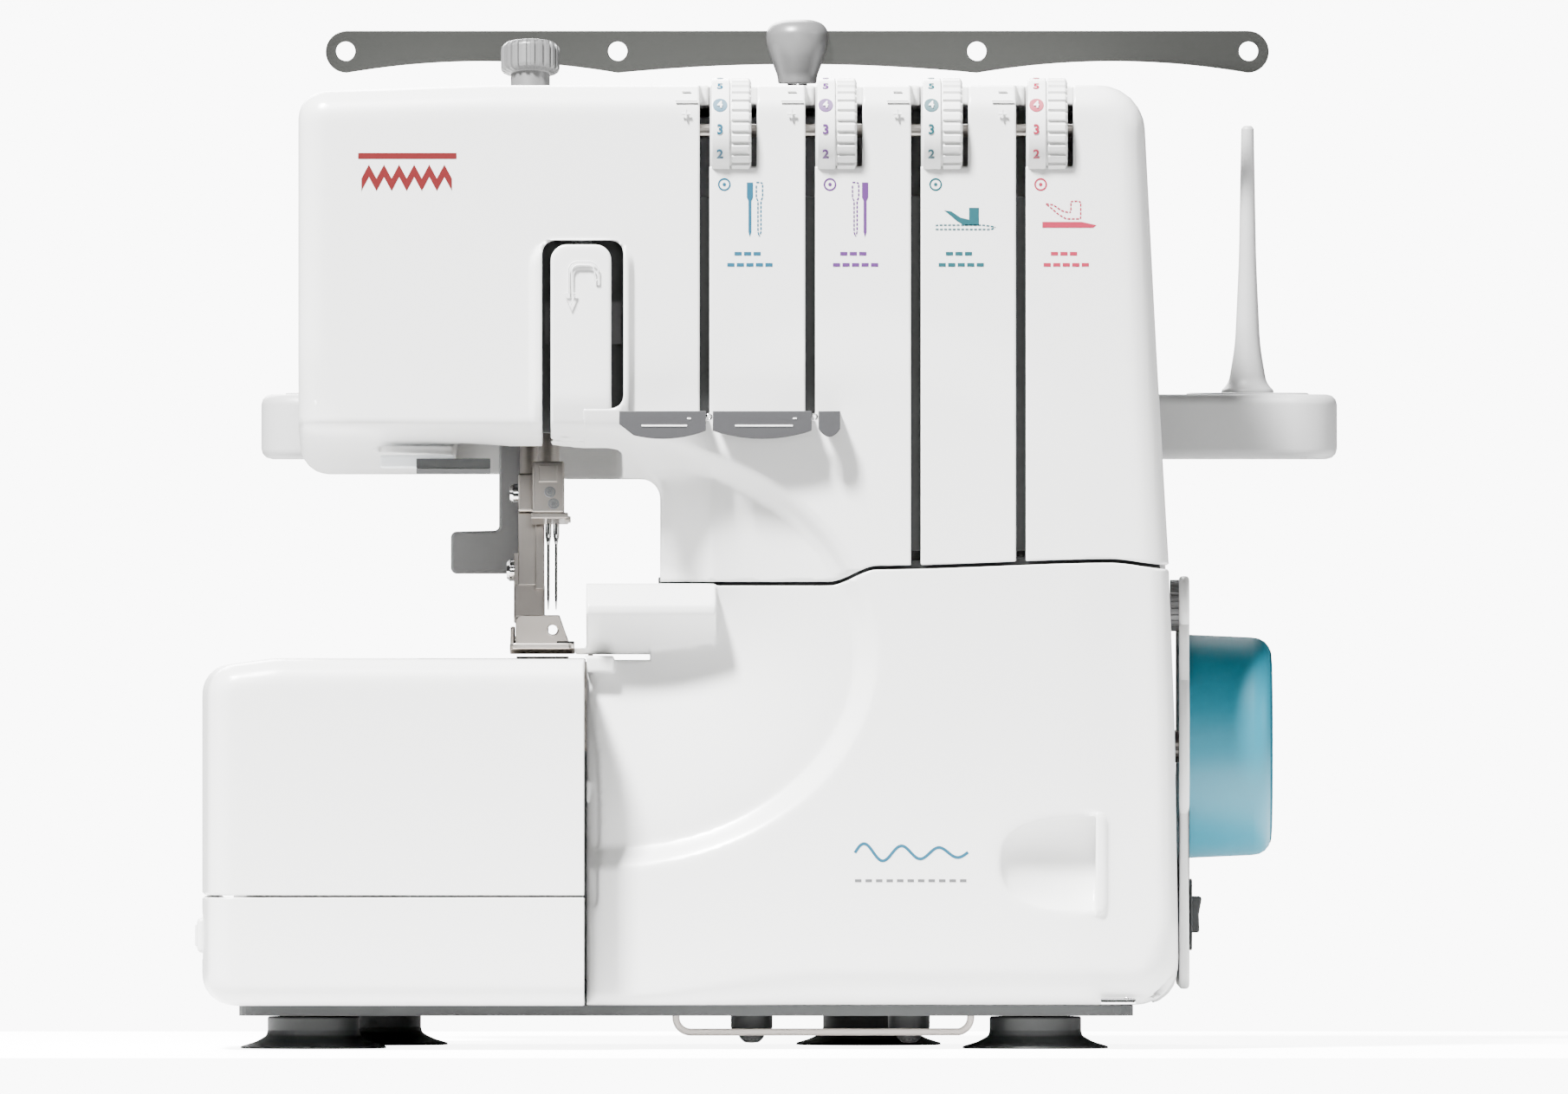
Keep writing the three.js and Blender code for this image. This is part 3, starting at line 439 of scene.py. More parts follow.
def head_shell(x, y, z):
    shell = both(head_solid(x, y, z), seam_height(x) - z, y - SPLIT)
    hollows = [
        block(x, y, z, (-138, FRONT + 4, 197), (107, 40, 288), 3),
        block(x, y, z, (34, FRONT + 4.6, 100), (113, 40, 205), 3),
        block(x, y, z, (-27, -76, 100), (40, 40, 205), 3),
    ]
    shell = carve(shell, either(*hollows), 0.5)
    before = FRONT - 20
    for (low, high), bottom in zip(DIALS, SLOT_LOW):
        slot = block(x, y, z, (low[0] - SLOT_WIDE, before, bottom), (low[0], -88, 400), 0.3)
        window = block(x, y, z, (low[0] - 0.4, before, WINDOW_LOW), (high[0] + WINDOW_SPARE, -70, 400), 0.6)
        shell = carve(shell, either(slot, window), 0.5)
    tall = block2(x, z, (-69.3, 183), (-57, 243), 1)
    wide = block2(x, z, (-69.3, 195.4), (-44.5, 246.6), 4)
    openings = [
        both(either(tall, wide), y + 80),
        block(x, y, z, (LIP_LEFT, before, 160), (BED_RIGHT, -84, LIP_TOP), 0.8),
        block(x, y, z, (-96, -90, 170), (-45, -4, 184), 3),
        block(x, y, z, (-119.5, -84, 170), (-95.5, -60, 184), 0.5),
        block(x, y, z, (-96, -80, 170), (-45, -4, 210), 3),
    ]
    shell = carve(shell, either(*openings), 0.5)
    return carve(shell, knob_hole(x, y, z), 0.4)
LEAN = math.radians(13)
NEEDLE_Y, BED_TOP = -62.0, 119.1


def leaning(x, y, z):
    """The frame of the needle and presser bars: across, back from the needle bar, up along it."""
    dy, dz = y - NEEDLE_Y, z - BED_TOP
    return x, dy * math.cos(LEAN) - dz * math.sin(LEAN), dy * math.sin(LEAN) + dz * math.cos(LEAN)


def knob_hole(x, y, z):
    across, back, up = leaning(x, y, z)
    return both(length_of(across + 73.5, back - 12) - 6.6, 150 - up)


def build_head():
    slots = [low[0] - SLOT_WIDE for low, _ in DIALS] + [low[0] for low, _ in DIALS]
    ends = [high[0] + WINDOW_SPARE for _, high in DIALS]
    rims = [-69.3, -44.5, -72.6, -41.8, THROAT, LIP_LEFT, BED_RIGHT, -17.6]
    xs = lines(HEAD_LEFT, 124, 1.8, [*slots, *ends, *rims], 0.45)
    ys = lines(FRONT - 4, SPLIT, 1.9, [FRONT + 1, SPLIT], 0.6, 5)
    levels = [142.6, 147.6, 149.7, 175.2, LIP_TOP, 193.8, 246.6, WINDOW_LOW, HEAD_TOP]
    zs = lines(139, HEAD_TOP, 1.8, levels, 0.45)
    place(net("head_and_column", head_shell, (xs, ys, zs)), "body", "white", WHITE, "upper_housing")
build_head()

# ---------------------------------------------------------------- looper cover

BASE = COVER_LOW[2]
COVER_BACK = COVER_HIGH[1]
HINGE_Y, HINGE_Z = -91.0, 19.2
GRIP = (99.4, 56.6)
RECESS_FLOOR = -86.0


COVER_OUTLINE = rounded_corners(
    [(BED_RIGHT + 0.6, BASE, 0), (124.9, BASE, 13), (123.5, 100, 0), (121.6, 150, 0), (121.6, 170, 0),
     (BED_RIGHT + 0.6, 170, 0)]
)
def cover_top(x):
    """Upper edge of the cover: the parting line, and lower where the bed's end lies."""
    return seam_height(x) - SEAM_GAP - 22.6 * (1 - ramp(x, -36.6, -35.8))


def inner_step(x, z):
    """The shallow step in the recess floor beside the bed, along a curve."""
    line = -51.7 - 4.9 * np.clip((z - 70) / 42, -0.4, 1.1) ** 2
    return 1.3 * ramp(line - x, -0.35, 0.35) * ramp(z, 42, 46) * (1 - ramp(z, 110, 113))


def cover_face(x, z):
    return FRONT + dish(x, z) + inner_step(x, z) + crease(x, z) * ramp(x, -40, 0)
def cover_rounding(x, z):
    return 7 + 7 * (1 - ramp(z, 20, 40)) * ramp(x, -50, 20) - 3 * (1 - ramp(x, -50, 20))


def grip(x, y, z):
    """The finger recess: round on the left, with an upright wall on the right."""
    scoop = (np.abs((x - GRIP[0]) / 28.9) ** 2.7 + np.abs((z - GRIP[1]) / 14.3) ** 2.7) ** (1 / 2.7)
    return both((length_of(scoop, (y - FRONT) / 8.6) - 1) * 8.6, x - GRIP[0])


NOSE_SIDE = rounded_corners(
    [(-79.5, 142.2, 0), (-79.5, 120.4, 0), (-84, 120.4, 1), (-101.2, 132.8, 1.4), (-101.2, 135.5, 1.2),
     (-92, 142.2, 7)]
)


def from_hinge(y, z):
    return length_of(y - HINGE_Y, z - HINGE_Z)


def nose(x, y, z):
    ends = np.abs(x + 37.9) - 21.7
    over_bed = both(x - (BED_RIGHT + 0.5), 103.4 - from_hinge(y, z))
    return both(ball_sum(outline(y, z, NOSE_SIDE), ends, radius=1.2), -over_bed)
def cover_shell(x, y, z):
    outer = ball_sum(outline(x, z, COVER_OUTLINE), cover_face(x, z) - y, radius=cover_rounding(x, z))
    outer = both(outer, z - cover_top(x))
    rim = block2(x, z, (GRIP[0] - 4, GRIP[1] - 15.4), (GRIP[0] + 3.4, GRIP[1] + 15.4), 3)
    rim = both(rim, y - FRONT - 3)
    outer = melt(outer, both(rim, FRONT - 0.7 - y), 1.2)
    hollows = [
        block(x, y, z, (BED_RIGHT - 10, -80, BASE + 3.5), (60, -40, 138), 9),
        block(x, y, z, (35, FRONT + 4.5, BASE + 3.5), (119, -40, 143), 9),
        from_hinge(y, z) - 2.9,
    ]
    shell = carve(outer, either(*hollows), 0.5)
    pocket = both(grip(x, y, z) - 2.2, FRONT + 1.5 - y)
    shell = carve(either(shell, pocket), grip(x, y, z), 1.0)
    shell = melt(shell, nose(x, y, z), 0.8)
    upper = block(x, y, z, (-62, RECESS_FLOOR - 7, 115), (-47.4, RECESS_FLOOR + 6, 120), 0.9)
    lower = block(x, y, z, (-62, RECESS_FLOOR - 7, 75), (-45.5, RECESS_FLOOR + 6, 82.1), 1.6)
    notch = block(x, y, z, (-53, RECESS_FLOOR - 9, 78.3), (-44, RECESS_FLOOR - 6.4, 78.9), 0.1)
    shell = either(shell, carve(either(upper, lower), notch, 0.3))
    swing = 122.9 + 4.4 * ramp(x, 27.9, 28.1) - from_hinge(y, z)
    shell = carve(shell, both(swing, HINGE_Y - y), 0.2)
    return both(shell, y - COVER_BACK, BED_RIGHT + 0.6 - x - 4 * ramp(z, 119.4, 121))
def build_cover():
    light_strips = [BED_RIGHT + 0.6, -59.5, -16.2, THROAT - 3, GRIP[0], -47.4, -45.5, 24, 30]
    xs = lines(-60, 125, 1.7, light_strips, 0.45)
    ys = lines(FRONT - 2, COVER_BACK, 1.6, [FRONT, -93.5, -96], 0.5)
    zs = lines(BASE, 149, 1.7, [BASE + 1, 78.6, 75, 82, 115, 119.6, 142, 146.6, 148.5], 0.45)
    piece = net("looper_cover_shell", cover_shell, (xs, ys, zs))
    place(piece, "cover", "white", WHITE, "looper_cover")


build_cover()


def gasket(x, y, z):
    """Dark rib behind the gap between head and cover."""
    face = head_face(x, z)
    return both(np.abs(z - seam_height(x) + 0.6) - 2.0, np.abs(y - face - 6.2) - 1.0, -34 - x, x - 119)


SEAM_GRID = (lines(-36, 120, 1.6, [-34, 119]), lines(-98, -70, 0.9), lines(139, 153, 0.7))
place(net("seam_rib", gasket, SEAM_GRID), "body", "dark", DARK)
# ---------------------------------------------------------------- rear housing

BACK = REAR_HIGH[1]


REAR_OUTLINE = casing_outline(
    (HEAD_LEFT, HEAD_BASE, 8), (THROAT, HEAD_BASE, 6), (THROAT, BASE, 0), (124.7, BASE, 10), (123.3, 100, 0)
)
def rear_shell(x, y, z):
    upper = ball_sum(outline(x, z, REAR_OUTLINE), y - BACK, radius=9)
    arm = block(x, y, z, (BED_LOW[0] + 6.2, BED_HIGH[1] + 3.5, BASE), (THROAT + 10, BACK, BED_TOP - 4), 7)
    arm = both(arm, BED_HIGH[1] + 3.5 - y)
    hollows = [
        block(x, y, z, (-138, -60, 181), (107, BACK - 5, 288), 4),
        block(x, y, z, (THROAT + 5, -90, BASE - 5), (116.5, BACK - 5, 186), 4),
        block(x, y, z, (BED_LEFT + 12, -60, BASE - 5), (THROAT + 20, BACK - 5, 109), 4),
    ]
    shell = carve(melt(upper, arm, 5), either(*hollows), 0.5)
    front = np.where(z > seam_height(x) - SEAM_GAP, SPLIT + 0.4, COVER_BACK + 1.2)
    front = np.where(x < THROAT, np.where(z > 150, SPLIT + 0.4, BED_HIGH[1] + 3.5), front)
    shell = both(shell, front - y)
    shaft = length_of(y + 30, z - 92.1) - 8
    inlet = block(x, y, z, (112, 22.5, 31.5), (140, 37.5, 48.5), 1)
    vents = np.abs(np.mod(z - 64, 7) - 3.5) - 1.3
    vents = both(vents, np.abs(z - 85) - 21, np.abs(x - 45) - 26, 40 - y)
    return carve(shell, either(both(shaft, 90 - x), inlet, vents), 0.5)


def build_rear():
    xs = lines(BED_LOW[0] + 6, 125, 2.0, [THROAT, 19, 71], 0.6)
    ys = lines(COVER_BACK, BACK, 2.0, [SPLIT + 0.4, BACK, COVER_BACK + 1.2], 0.6)
    zs = lines(BASE, HEAD_TOP, 2.0, [*[60.5 + 7 * k + 3.5 for k in range(8)], HEAD_BASE, BASE + 0.5], 0.6)
    place(net("rear_shell", rear_shell, (xs, ys, zs)), "body", "white", WHITE, "rear_housing")


build_rear()

# ---------------------------------------------------------------- bed

BED_OUTLINE = rounded_corners(
    [(BED_LEFT, BASE, 9), (BED_RIGHT + 20, BASE, 0), (BED_RIGHT + 20, BED_TOP, 0), (-150, BED_TOP, 0),
     (BED_LEFT, BED_TOP - 2.8, 9)]
)


def bed_solid(x, y, z):
    bulge = 2.6 * np.clip(1 - ((y + 70) / 46) ** 2, 0, 1) * ramp(x, -120, -160)
    return ball_sum(outline(x + bulge, z, BED_OUTLINE), BED_FRONT - y, radius=8)


def bed_shell(x, y, z):
    low, high = (BED_LEFT + 3.5, BED_FRONT + 4, BASE + 3.5), (BED_RIGHT + 20, 0, BED_TOP - 4.6)
    inside = block(x, y, z, low, high, 5)
    shell = carve(bed_solid(x, y, z), inside, 0.5)
    notch = block(x, y, z, (-107.3, -92, BED_TOP - 5), (-40, -38, BED_TOP + 3), 0.5)
    return both(carve(shell, notch, 0.4), x - BED_RIGHT, y - BED_BACK)


def bed_upper(x, y, z):
    return ball_sum(bed_shell(x, y, z), BED_SPLIT + 0.15 - z, radius=0.4)


def bed_lower(x, y, z):
    window = block(x, y, z, (-180, -87, 28.5), (-160, -65, 41), 0.8)
    shell = carve(bed_shell(x, y, z), window, 0.3)
    return ball_sum(shell, z - BED_SPLIT + 0.45, radius=0.4)


def build_bed():
    xs = lines(BED_LEFT - 3, BED_RIGHT, 1.8, [BED_RIGHT, -107.3], 0.5)
    ys = lines(BED_FRONT, BED_BACK, 1.8, [BED_FRONT + 1, -92, -38], 0.5)
    upper = lines(BED_SPLIT, BED_TOP, 1.8, [BED_SPLIT, BED_TOP - 1], 0.4)
    lower = lines(BASE, BED_SPLIT, 1.8, [BED_SPLIT - 0.4, BASE + 1], 0.4)
    place(net("bed_upper_shell", bed_upper, (xs, ys, upper)), "bed", "white", WHITE, "bed_cover")
    place(net("bed_lower_shell", bed_lower, (xs, ys, lower)), "body", "white", WHITE, "bed_lower_cover")


build_bed()

# ---------------------------------------------------------------- turned, flat and drawn pieces

STILL = Matrix.Identity(4)
FACING = {
    "front": Matrix(((1, 0, 0), (0, 0, -1), (0, 1, 0))).to_4x4(),
    "right": Matrix(((0, 0, 1), (1, 0, 0), (0, 1, 0))).to_4x4(),
    "top": STILL,
}
def lean_matrix():
    """The frame of the needle and presser bars as a matrix, in metres."""
    turn = Matrix.Rotation(-LEAN, 4, "X")
    return Matrix.Translation((0, NEEDLE_Y * MM, BED_TOP * MM)) @ turn


def profile_points(corners, steps=5):
    """An open profile of (radius, along, fillet) corners as points, its ends kept."""
    points = [np.array(corners[0][:2], float)]
    for i in range(1, len(corners) - 1):
        here = np.array(corners[i][:2], float)
        fillet = corners[i][2] if len(corners[i]) > 2 else 0
        if fillet <= 0:
            points.append(here)
            continue
        before = np.array(corners[i - 1][:2], float) - here
        after = np.array(corners[i + 1][:2], float) - here
        before /= np.hypot(*before)
        after /= np.hypot(*after)
        for t in np.linspace(0, 1, steps):
            a, b = here + before * fillet, here + after * fillet
            points.append((1 - t) ** 2 * a + 2 * t * (1 - t) * here + t * t * b)
    points.append(np.array(corners[-1][:2], float))
    return np.array(points)


def turned(name, corners, axis, centre, sides=64, ribs=None):
    """A piece turned about X, Z or a matrix's own Z; ribs(angle, radius, along) may change a radius."""
    mesh = bmesh.new()
    rings = []
    for radius, along in profile_points(corners):
        if radius < 1e-6:
            rings.append([mesh.verts.new((0, 0, along * MM))])
            continue
        ring = []
        for k in range(sides):
            angle = 2 * math.pi * k / sides
            r = ribs(angle, radius, along) if ribs else radius
            ring.append(mesh.verts.new((r * math.cos(angle) * MM, r * math.sin(angle) * MM, along * MM)))
        rings.append(ring)
    for low, high in zip(rings, rings[1:]):
        for k in range(sides):
            n = (k + 1) % sides
            around = [low[k % len(low)], low[n % len(low)], high[n % len(high)], high[k % len(high)]]
            face = list(dict.fromkeys(around))
            if len(face) > 2:
                mesh.faces.new(face)
    bmesh.ops.recalc_face_normals(mesh, faces=mesh.faces)
    if axis == "x":
        matrix = Matrix.Translation(Vector((0, *centre)) * MM) @ FACING["right"]
    else:
        matrix = (STILL if axis == "z" else axis) @ Matrix.Translation(Vector((*centre, 0)) * MM)
    return shaded_solid(name, mesh, matrix)


def shaded_solid(name, mesh, matrix=STILL):
    """A finished bmesh as a shaded object; the bmesh is freed."""
    mesh.transform(matrix)
    data = bpy.data.meshes.new(name)
    mesh.to_mesh(data)
    mesh.free()
    return shaded(name, data)


def shaded(name, data):
    """A mesh as an object, smooth except over sharp edges."""
    data.polygons.foreach_set("use_smooth", [True] * len(data.polygons))
    data.set_sharp_from_angle(angle=math.radians(35))
    piece = bpy.data.objects.new(name, data)
    PIECES.objects.link(piece)
    piece.modifiers.new("even shading", "WEIGHTED_NORMAL").keep_sharp = True
    return piece
def curve_mesh(name, splines, matrix, half=0.0, bevel=0.0, flat=True):
    """The mesh of a curve object: filled outlines with holes, or a round wire along points."""
    curve = bpy.data.curves.new(name, "CURVE")
    curve.dimensions = "2D" if flat else "3D"
    if flat:
        curve.fill_mode = "BOTH"
        curve.offset = -bevel * MM
    else:
        curve.use_fill_caps = True
    curve.extrude = half * MM
    curve.bevel_depth = bevel * MM
    curve.bevel_resolution = 2 if flat else 4
    for points in splines:
        spline = curve.splines.new("POLY")
        spline.points.add(len(points) - 1)
        for point, where in zip(spline.points, points):
            point.co = (*[value * MM for value in where], *([0] * (3 - len(where))), 1)
        spline.use_cyclic_u = flat
    return converted(name, curve, matrix)
def converted(name, curve, matrix):
    holder = bpy.data.objects.new(name + "_curve", curve)
    bpy.context.scene.collection.objects.link(holder)
    depsgraph = bpy.context.evaluated_depsgraph_get()
    data = bpy.data.meshes.new_from_object(holder.evaluated_get(depsgraph))
    bpy.data.objects.remove(holder)
    bpy.data.curves.remove(curve)
    data.transform(matrix)
    data.name = name
    welded = bmesh.new()
    welded.from_mesh(data)
    bmesh.ops.remove_doubles(welded, verts=welded.verts, dist=1e-6)
    bmesh.ops.recalc_face_normals(welded, faces=welded.faces)
    welded.to_mesh(data)
    welded.free()
    return data


def plate(name, outlines, facing, span, bevel=0.3):
    """A flat piece with rounded edges and holes, between two places along the way it faces."""
    low, high = span
    half = max((high - low) / 2 - bevel, 0)
    matrix = FACING[facing] @ Matrix.Translation((0, 0, (low + high) / 2 * MM))
    return shaded(name, curve_mesh(name, outlines, matrix, half, bevel))


def wire(name, points, radius):
    return shaded(name, curve_mesh(name, [points], STILL, 0, radius, False))


def circle(u, v, radius, count=28):
    angles = [2 * math.pi * k / count for k in range(count)]
    return [(u + radius * math.cos(angle), v + radius * math.sin(angle)) for angle in angles]
def box_outline(low, high, radius):
    (u0, v0), (u1, v1) = low, high
    return rounded_corners([(u0, v0, radius), (u1, v0, radius), (u1, v1, radius), (u0, v1, radius)], 6)


def joined(name, *pieces):
    """Several meshes as one piece."""
    whole = bmesh.new()
    for piece in pieces:
        whole.from_mesh(piece.data)
    solid = shaded_solid(name, whole)
    for piece in pieces:
        bpy.data.objects.remove(piece)
    return solid


def bevelled_box(name, low, high, radius=0.5, matrix=STILL):
    """A block with rounded edges, in the machine's frame or another."""
    mesh = bmesh.new()
    bmesh.ops.create_cube(mesh, size=1)
    for vertex in mesh.verts:
        vertex.co = [(lo + (hi - lo) * (c + 0.5)) * MM for lo, hi, c in zip(low, high, vertex.co)]
    edges = {"geom": mesh.edges[:], "offset": radius * MM, "segments": 3, "profile": 0.5}
    bmesh.ops.bevel(mesh, affect="EDGES", clamp_overlap=True, **edges)
    return shaded_solid(name, mesh, matrix)


def joined_boxes(name, matrix, *boxes):
    """One piece of several bevelled boxes, each given as (low, high, edge radius)."""
    return joined(name, *[bevelled_box("box", *box, matrix) for box in boxes])
# ---------------------------------------------------------------- tension dials

DIAL_RADIUS = (DIALS[0][1][2] - DIALS[0][0][2]) / 2
DIAL_Y = (DIALS[0][0][1] + DIALS[0][1][1]) / 2
DIAL_Z = (DIALS[0][0][2] + DIALS[0][1][2]) / 2
PRINTS = [PRINT_BLUE, PRINT_PURPLE, PRINT_TEAL, PRINT_PINK]
MARKED, MARK_ANGLE, STEP_ANGLE = 4, 28.5, 28
def dial_body(name, low, high):
    """Smooth number band on the left, ribbed band on the right."""
    left, right = low[0], high[0]
    split = left + 6.6

    def ribs(angle, radius, along):
        if along < split + 0.05 or radius < DIAL_RADIUS - 0.5:
            return radius
        return radius - (0.75 if math.sin(angle * 30) > 0.1 else 0)

    r = DIAL_RADIUS
    corners = [
        (3.0, left + 0.1, 0), (r - 3, left + 0.1, 0), (r - 2.2, left + 0.6, 0), (r, left + 0.6, 0.5),
        (r, split - 0.5, 0.3), (r - 0.9, split - 0.4, 0.1), (r - 0.9, split + 0.1, 0.1),
        (r, split + 0.2, 0.15), (r, right - 0.6, 0.4), (r - 1.4, right, 0.2), (3.0, right, 0),
        (2.4, right, 0), (2.4, left + 0.1, 0), (3.0, left + 0.1, 0),
    ]
    return turned(name, corners, "x", (DIAL_Y, DIAL_Z), 240, ribs)


def digit_mesh(text, size):
    font = bpy.data.curves.new("digit", "FONT")
    font.body = text
    font.size = size * MM
    font.align_x, font.align_y = "CENTER", "CENTER"
    font.extrude = 0.16 * MM
    font.offset = 0.1 * MM
    font.resolution_u = 3
    return converted("digit", font, STILL)


def wrap(data, centre_x, degrees, lift):
    """Bends a flat mesh round the dial: its u runs along X, its v up round the front."""
    for vertex in data.vertices:
        u, v, w = (value / MM for value in vertex.co)
        angle = math.radians(degrees) + v / DIAL_RADIUS
        radius = DIAL_RADIUS + w + lift
        vertex.co = (
            (centre_x + u) * MM,
            (DIAL_Y - radius * math.cos(angle)) * MM,
            (DIAL_Z + radius * math.sin(angle)) * MM,
        )
    return data


def fine(data, step):
    """Cuts a mesh's long edges so that it can bend."""
    mesh = bmesh.new()
    mesh.from_mesh(data)
    for _ in range(3):
        edges = [edge for edge in mesh.edges if edge.calc_length() > step * MM]
        if edges:
            bmesh.ops.subdivide_edges(mesh, edges=edges, cuts=1)
    bmesh.ops.triangulate(mesh, faces=mesh.faces)
    mesh.to_mesh(data)
    mesh.free()
    return data


def build_dials():
    for i, (low, high) in enumerate(DIALS):
        body = f"dial_{i + 1}"
        place(dial_body(body + "_wheel", low, high), body, "white", WHITE, f"tension_dial_{i + 1}")
        middle = low[0] + 3.2
        for number in range(10):
            marked = number == MARKED
            data = fine(digit_mesh(str(number), 3.1 if marked else 4.1), 1.2)
            wrap(data, middle, MARK_ANGLE + STEP_ANGLE * (number - MARKED), 0.3 if marked else 0.06)
            place(shaded(f"{body}_number_{number}", data), body, None, WHITE if marked else PRINTS[i])
        spot = fine(curve_mesh("spot", [circle(0, 0, 2.25, 36)], STILL, 0.14), 0.9)
        wrap(spot, middle, MARK_ANGLE, 0.0)
        place(shaded(body + "_spot", spot), body, None, PRINTS[i])
build_dials()

# ---------------------------------------------------------------- handwheel and right side

WHEEL_LOW, WHEEL_HIGH = node_box("handwheel")
SHAFT = (-30.0, 92.1)
STITCH_DIAL = (-52, 135.3)


def build_wheel():
    left, right = WHEEL_LOW[0], WHEEL_HIGH[0]
    r = (WHEEL_HIGH[2] - WHEEL_LOW[2]) / 2
    corners = [
        (5.4, left + 8, 0), (26, left + 8, 1), (27.2, left + 0.6, 0.8), (r - 0.6, left + 0.6, 0.6),
        (r, left + 1.6, 0.5), (r - 1.1, right - 1.2, 5.0), (r - 7, right, 2.5), (24, right, 1.0),
        (22.6, right - 1.2, 1.0), (8, right - 1.8, 1), (7.2, right - 1.0, 0.5), (0, right - 0.9, 0),
    ]
    place(turned("wheel", corners, "x", SHAFT, 128), "drive_shaft", "blue", BLUE, "handwheel")
    dot = [(0, right - 0.5, 0), (1.3, right - 0.5, 0.3), (1.4, right - 2, 0), (0, right - 2, 0)]
    place(turned("wheel_mark", dot, "x", (SHAFT[0], SHAFT[1] + 28), 24), "drive_shaft", "white", WHITE)
build_wheel()


def build_side():
    low, high = node_box("side_housing")
    edge = rounded_corners([(-60, 18, 6), (50, 18, 10), (50, 138, 10), (-60, 138, 14)], 8)
    inlet = box_outline((22.7, 31.7), (37.3, 48.3), 1)
    outlines = [edge, circle(*SHAFT, 36.3, 72), circle(*STITCH_DIAL, 9, 36), inlet]
    panel = plate("side_panel", outlines, "right", (low[0], high[0]), 1.1)
    place(panel, "body", "white", WHITE, "side_housing")

    def knurl(angle, radius, along):
        return radius - (0.35 if radius > 7.4 and math.sin(angle * 24) > 0.2 else 0)

    corners = [(0, 122.5, 0), (7.9, 122.5, 0.2), (7.9, 126, 0.4), (7.2, 126.6, 0.2), (0, 126.6, 0)]
    stitch = turned("stitch_dial_wheel", corners, "x", STITCH_DIAL, 192, knurl)
    place(stitch, "stitch_dial", "white", PALE, "stitch_length_dial")
    rocker = rounded_corners(
        [(127, 34.4, 0.2), (132.4, 34.4, 0.8), (132.2, 40, 2), (133.2, 45.6, 0.8), (127, 45.6, 0.2)], 5
    )
    place(plate("rocker", [rocker], "front", (-35.2, -24.8), 0.5), "rocker", "black", BLACK, "power_switch")
    bezel = [box_outline((20.4, 29), (39.6, 51), 2), box_outline((24.2, 33.8), (35.8, 46.2), 0.6)]
    place(plate("switch_bezel", bezel, "right", (128.6, 130.1), 0.5), "body", "black", BLACK)
    (left, front, base), high = node_box("bed_latch")
    ribs = []
    for k in range(4):
        start = front + 4 + 4 * k
        ribs.append(bevelled_box("latch_rib", (left, start, base + 2), (left + 3, start + 1.4, high[2] - 2)))
    latch = bevelled_box("latch_block", (left + 0.7, front, base), high, 1.4)
    place(joined("bed_latch_button", latch, *ribs), "latch", "white", WHITE, "bed_latch")
build_side()

# ---------------------------------------------------------------- base and feet


def build_base():
    for name in ("front_left", "rear_left", "front_right", "rear_right"):
        low, high = node_box("foot_" + name)
        centre = ((low[0] + high[0]) / 2, (low[1] + high[1]) / 2)
        corners = [
            (0, 1.6, 0), (17.5, 0.2, 0.6), (22.3, 0, 0.3), (22.2, 0.7, 0.3), (17.4, 2.1, 2), (14.4, 3.9, 0.7),
            (14, 5.5, 0.3), (14, high[2] - 0.4, 0.3), (13.6, high[2], 0), (0, high[2], 0),
        ]
        place(turned("suction_" + name, corners, "z", centre, 72), "body", "rubber", RUBBER, "foot_" + name)
    for i, x in enumerate((-5.5, 42.6)):
        dome = [(0, 1.5, 0), (2.2, 1.7, 0.5), (3.9, 3.4, 0.8), (4.2, 5.75, 0.2), (0, 5.75, 0)]
        place(turned(f"base_screw_{i + 1}", dome, "z", (x, -60), 40), "body", "chrome", CHROME)
        boss = [(0, 5.7, 0), (5.8, 5.7, 0.4), (6.4, 6.2, 0.3), (6.4, 10.4, 0), (0, 10.4, 0)]
        place(turned(f"base_boss_{i + 1}", boss, "z", (x, -60), 40), "body", "black", BLACK)
    low, high = node_box("tray_bracket")
    radius, bend, y = 1.1, 4.5, (low[1] + high[1]) / 2
    left, right, bottom, top = low[0] + radius, high[0] - radius, low[2] + radius, high[2] + 2
    path = [(left, y, top), (left, y, bottom + bend)]
    for x, start in ((left + bend, math.pi), (right - bend, 1.5 * math.pi)):
        for k in range(1, 9):
            angle = start + math.pi / 2 * k / 8
            path.append((x + bend * math.cos(angle), y, bottom + bend + bend * math.sin(angle)))
    path.append((right, y, top))
    place(wire("tray_hook", path, radius), "body", "wire", WIRE, "tray_bracket")
    tab = bevelled_box("hinge_tab", (100.8, -103.6, 13.9), (111.6, -96, 15.6), 0.4)
    corners = [(0, 15.2, 0), (1.5, 15.2, 0), (1.5, 15.9, 0.3), (0, 16.1, 0)]
    rivet = turned("rivet", corners, "z", (109, -100), 24)
    place(joined("cover_hinge_tab", tab, rivet), "cover", "chrome", CHROME)
build_base()

# ---------------------------------------------------------------- spool stand, pole and guide bar

POLE = (8.5, 72.0)
SPOOLS = (-131.1, -47.0, 64.0, 148.0)


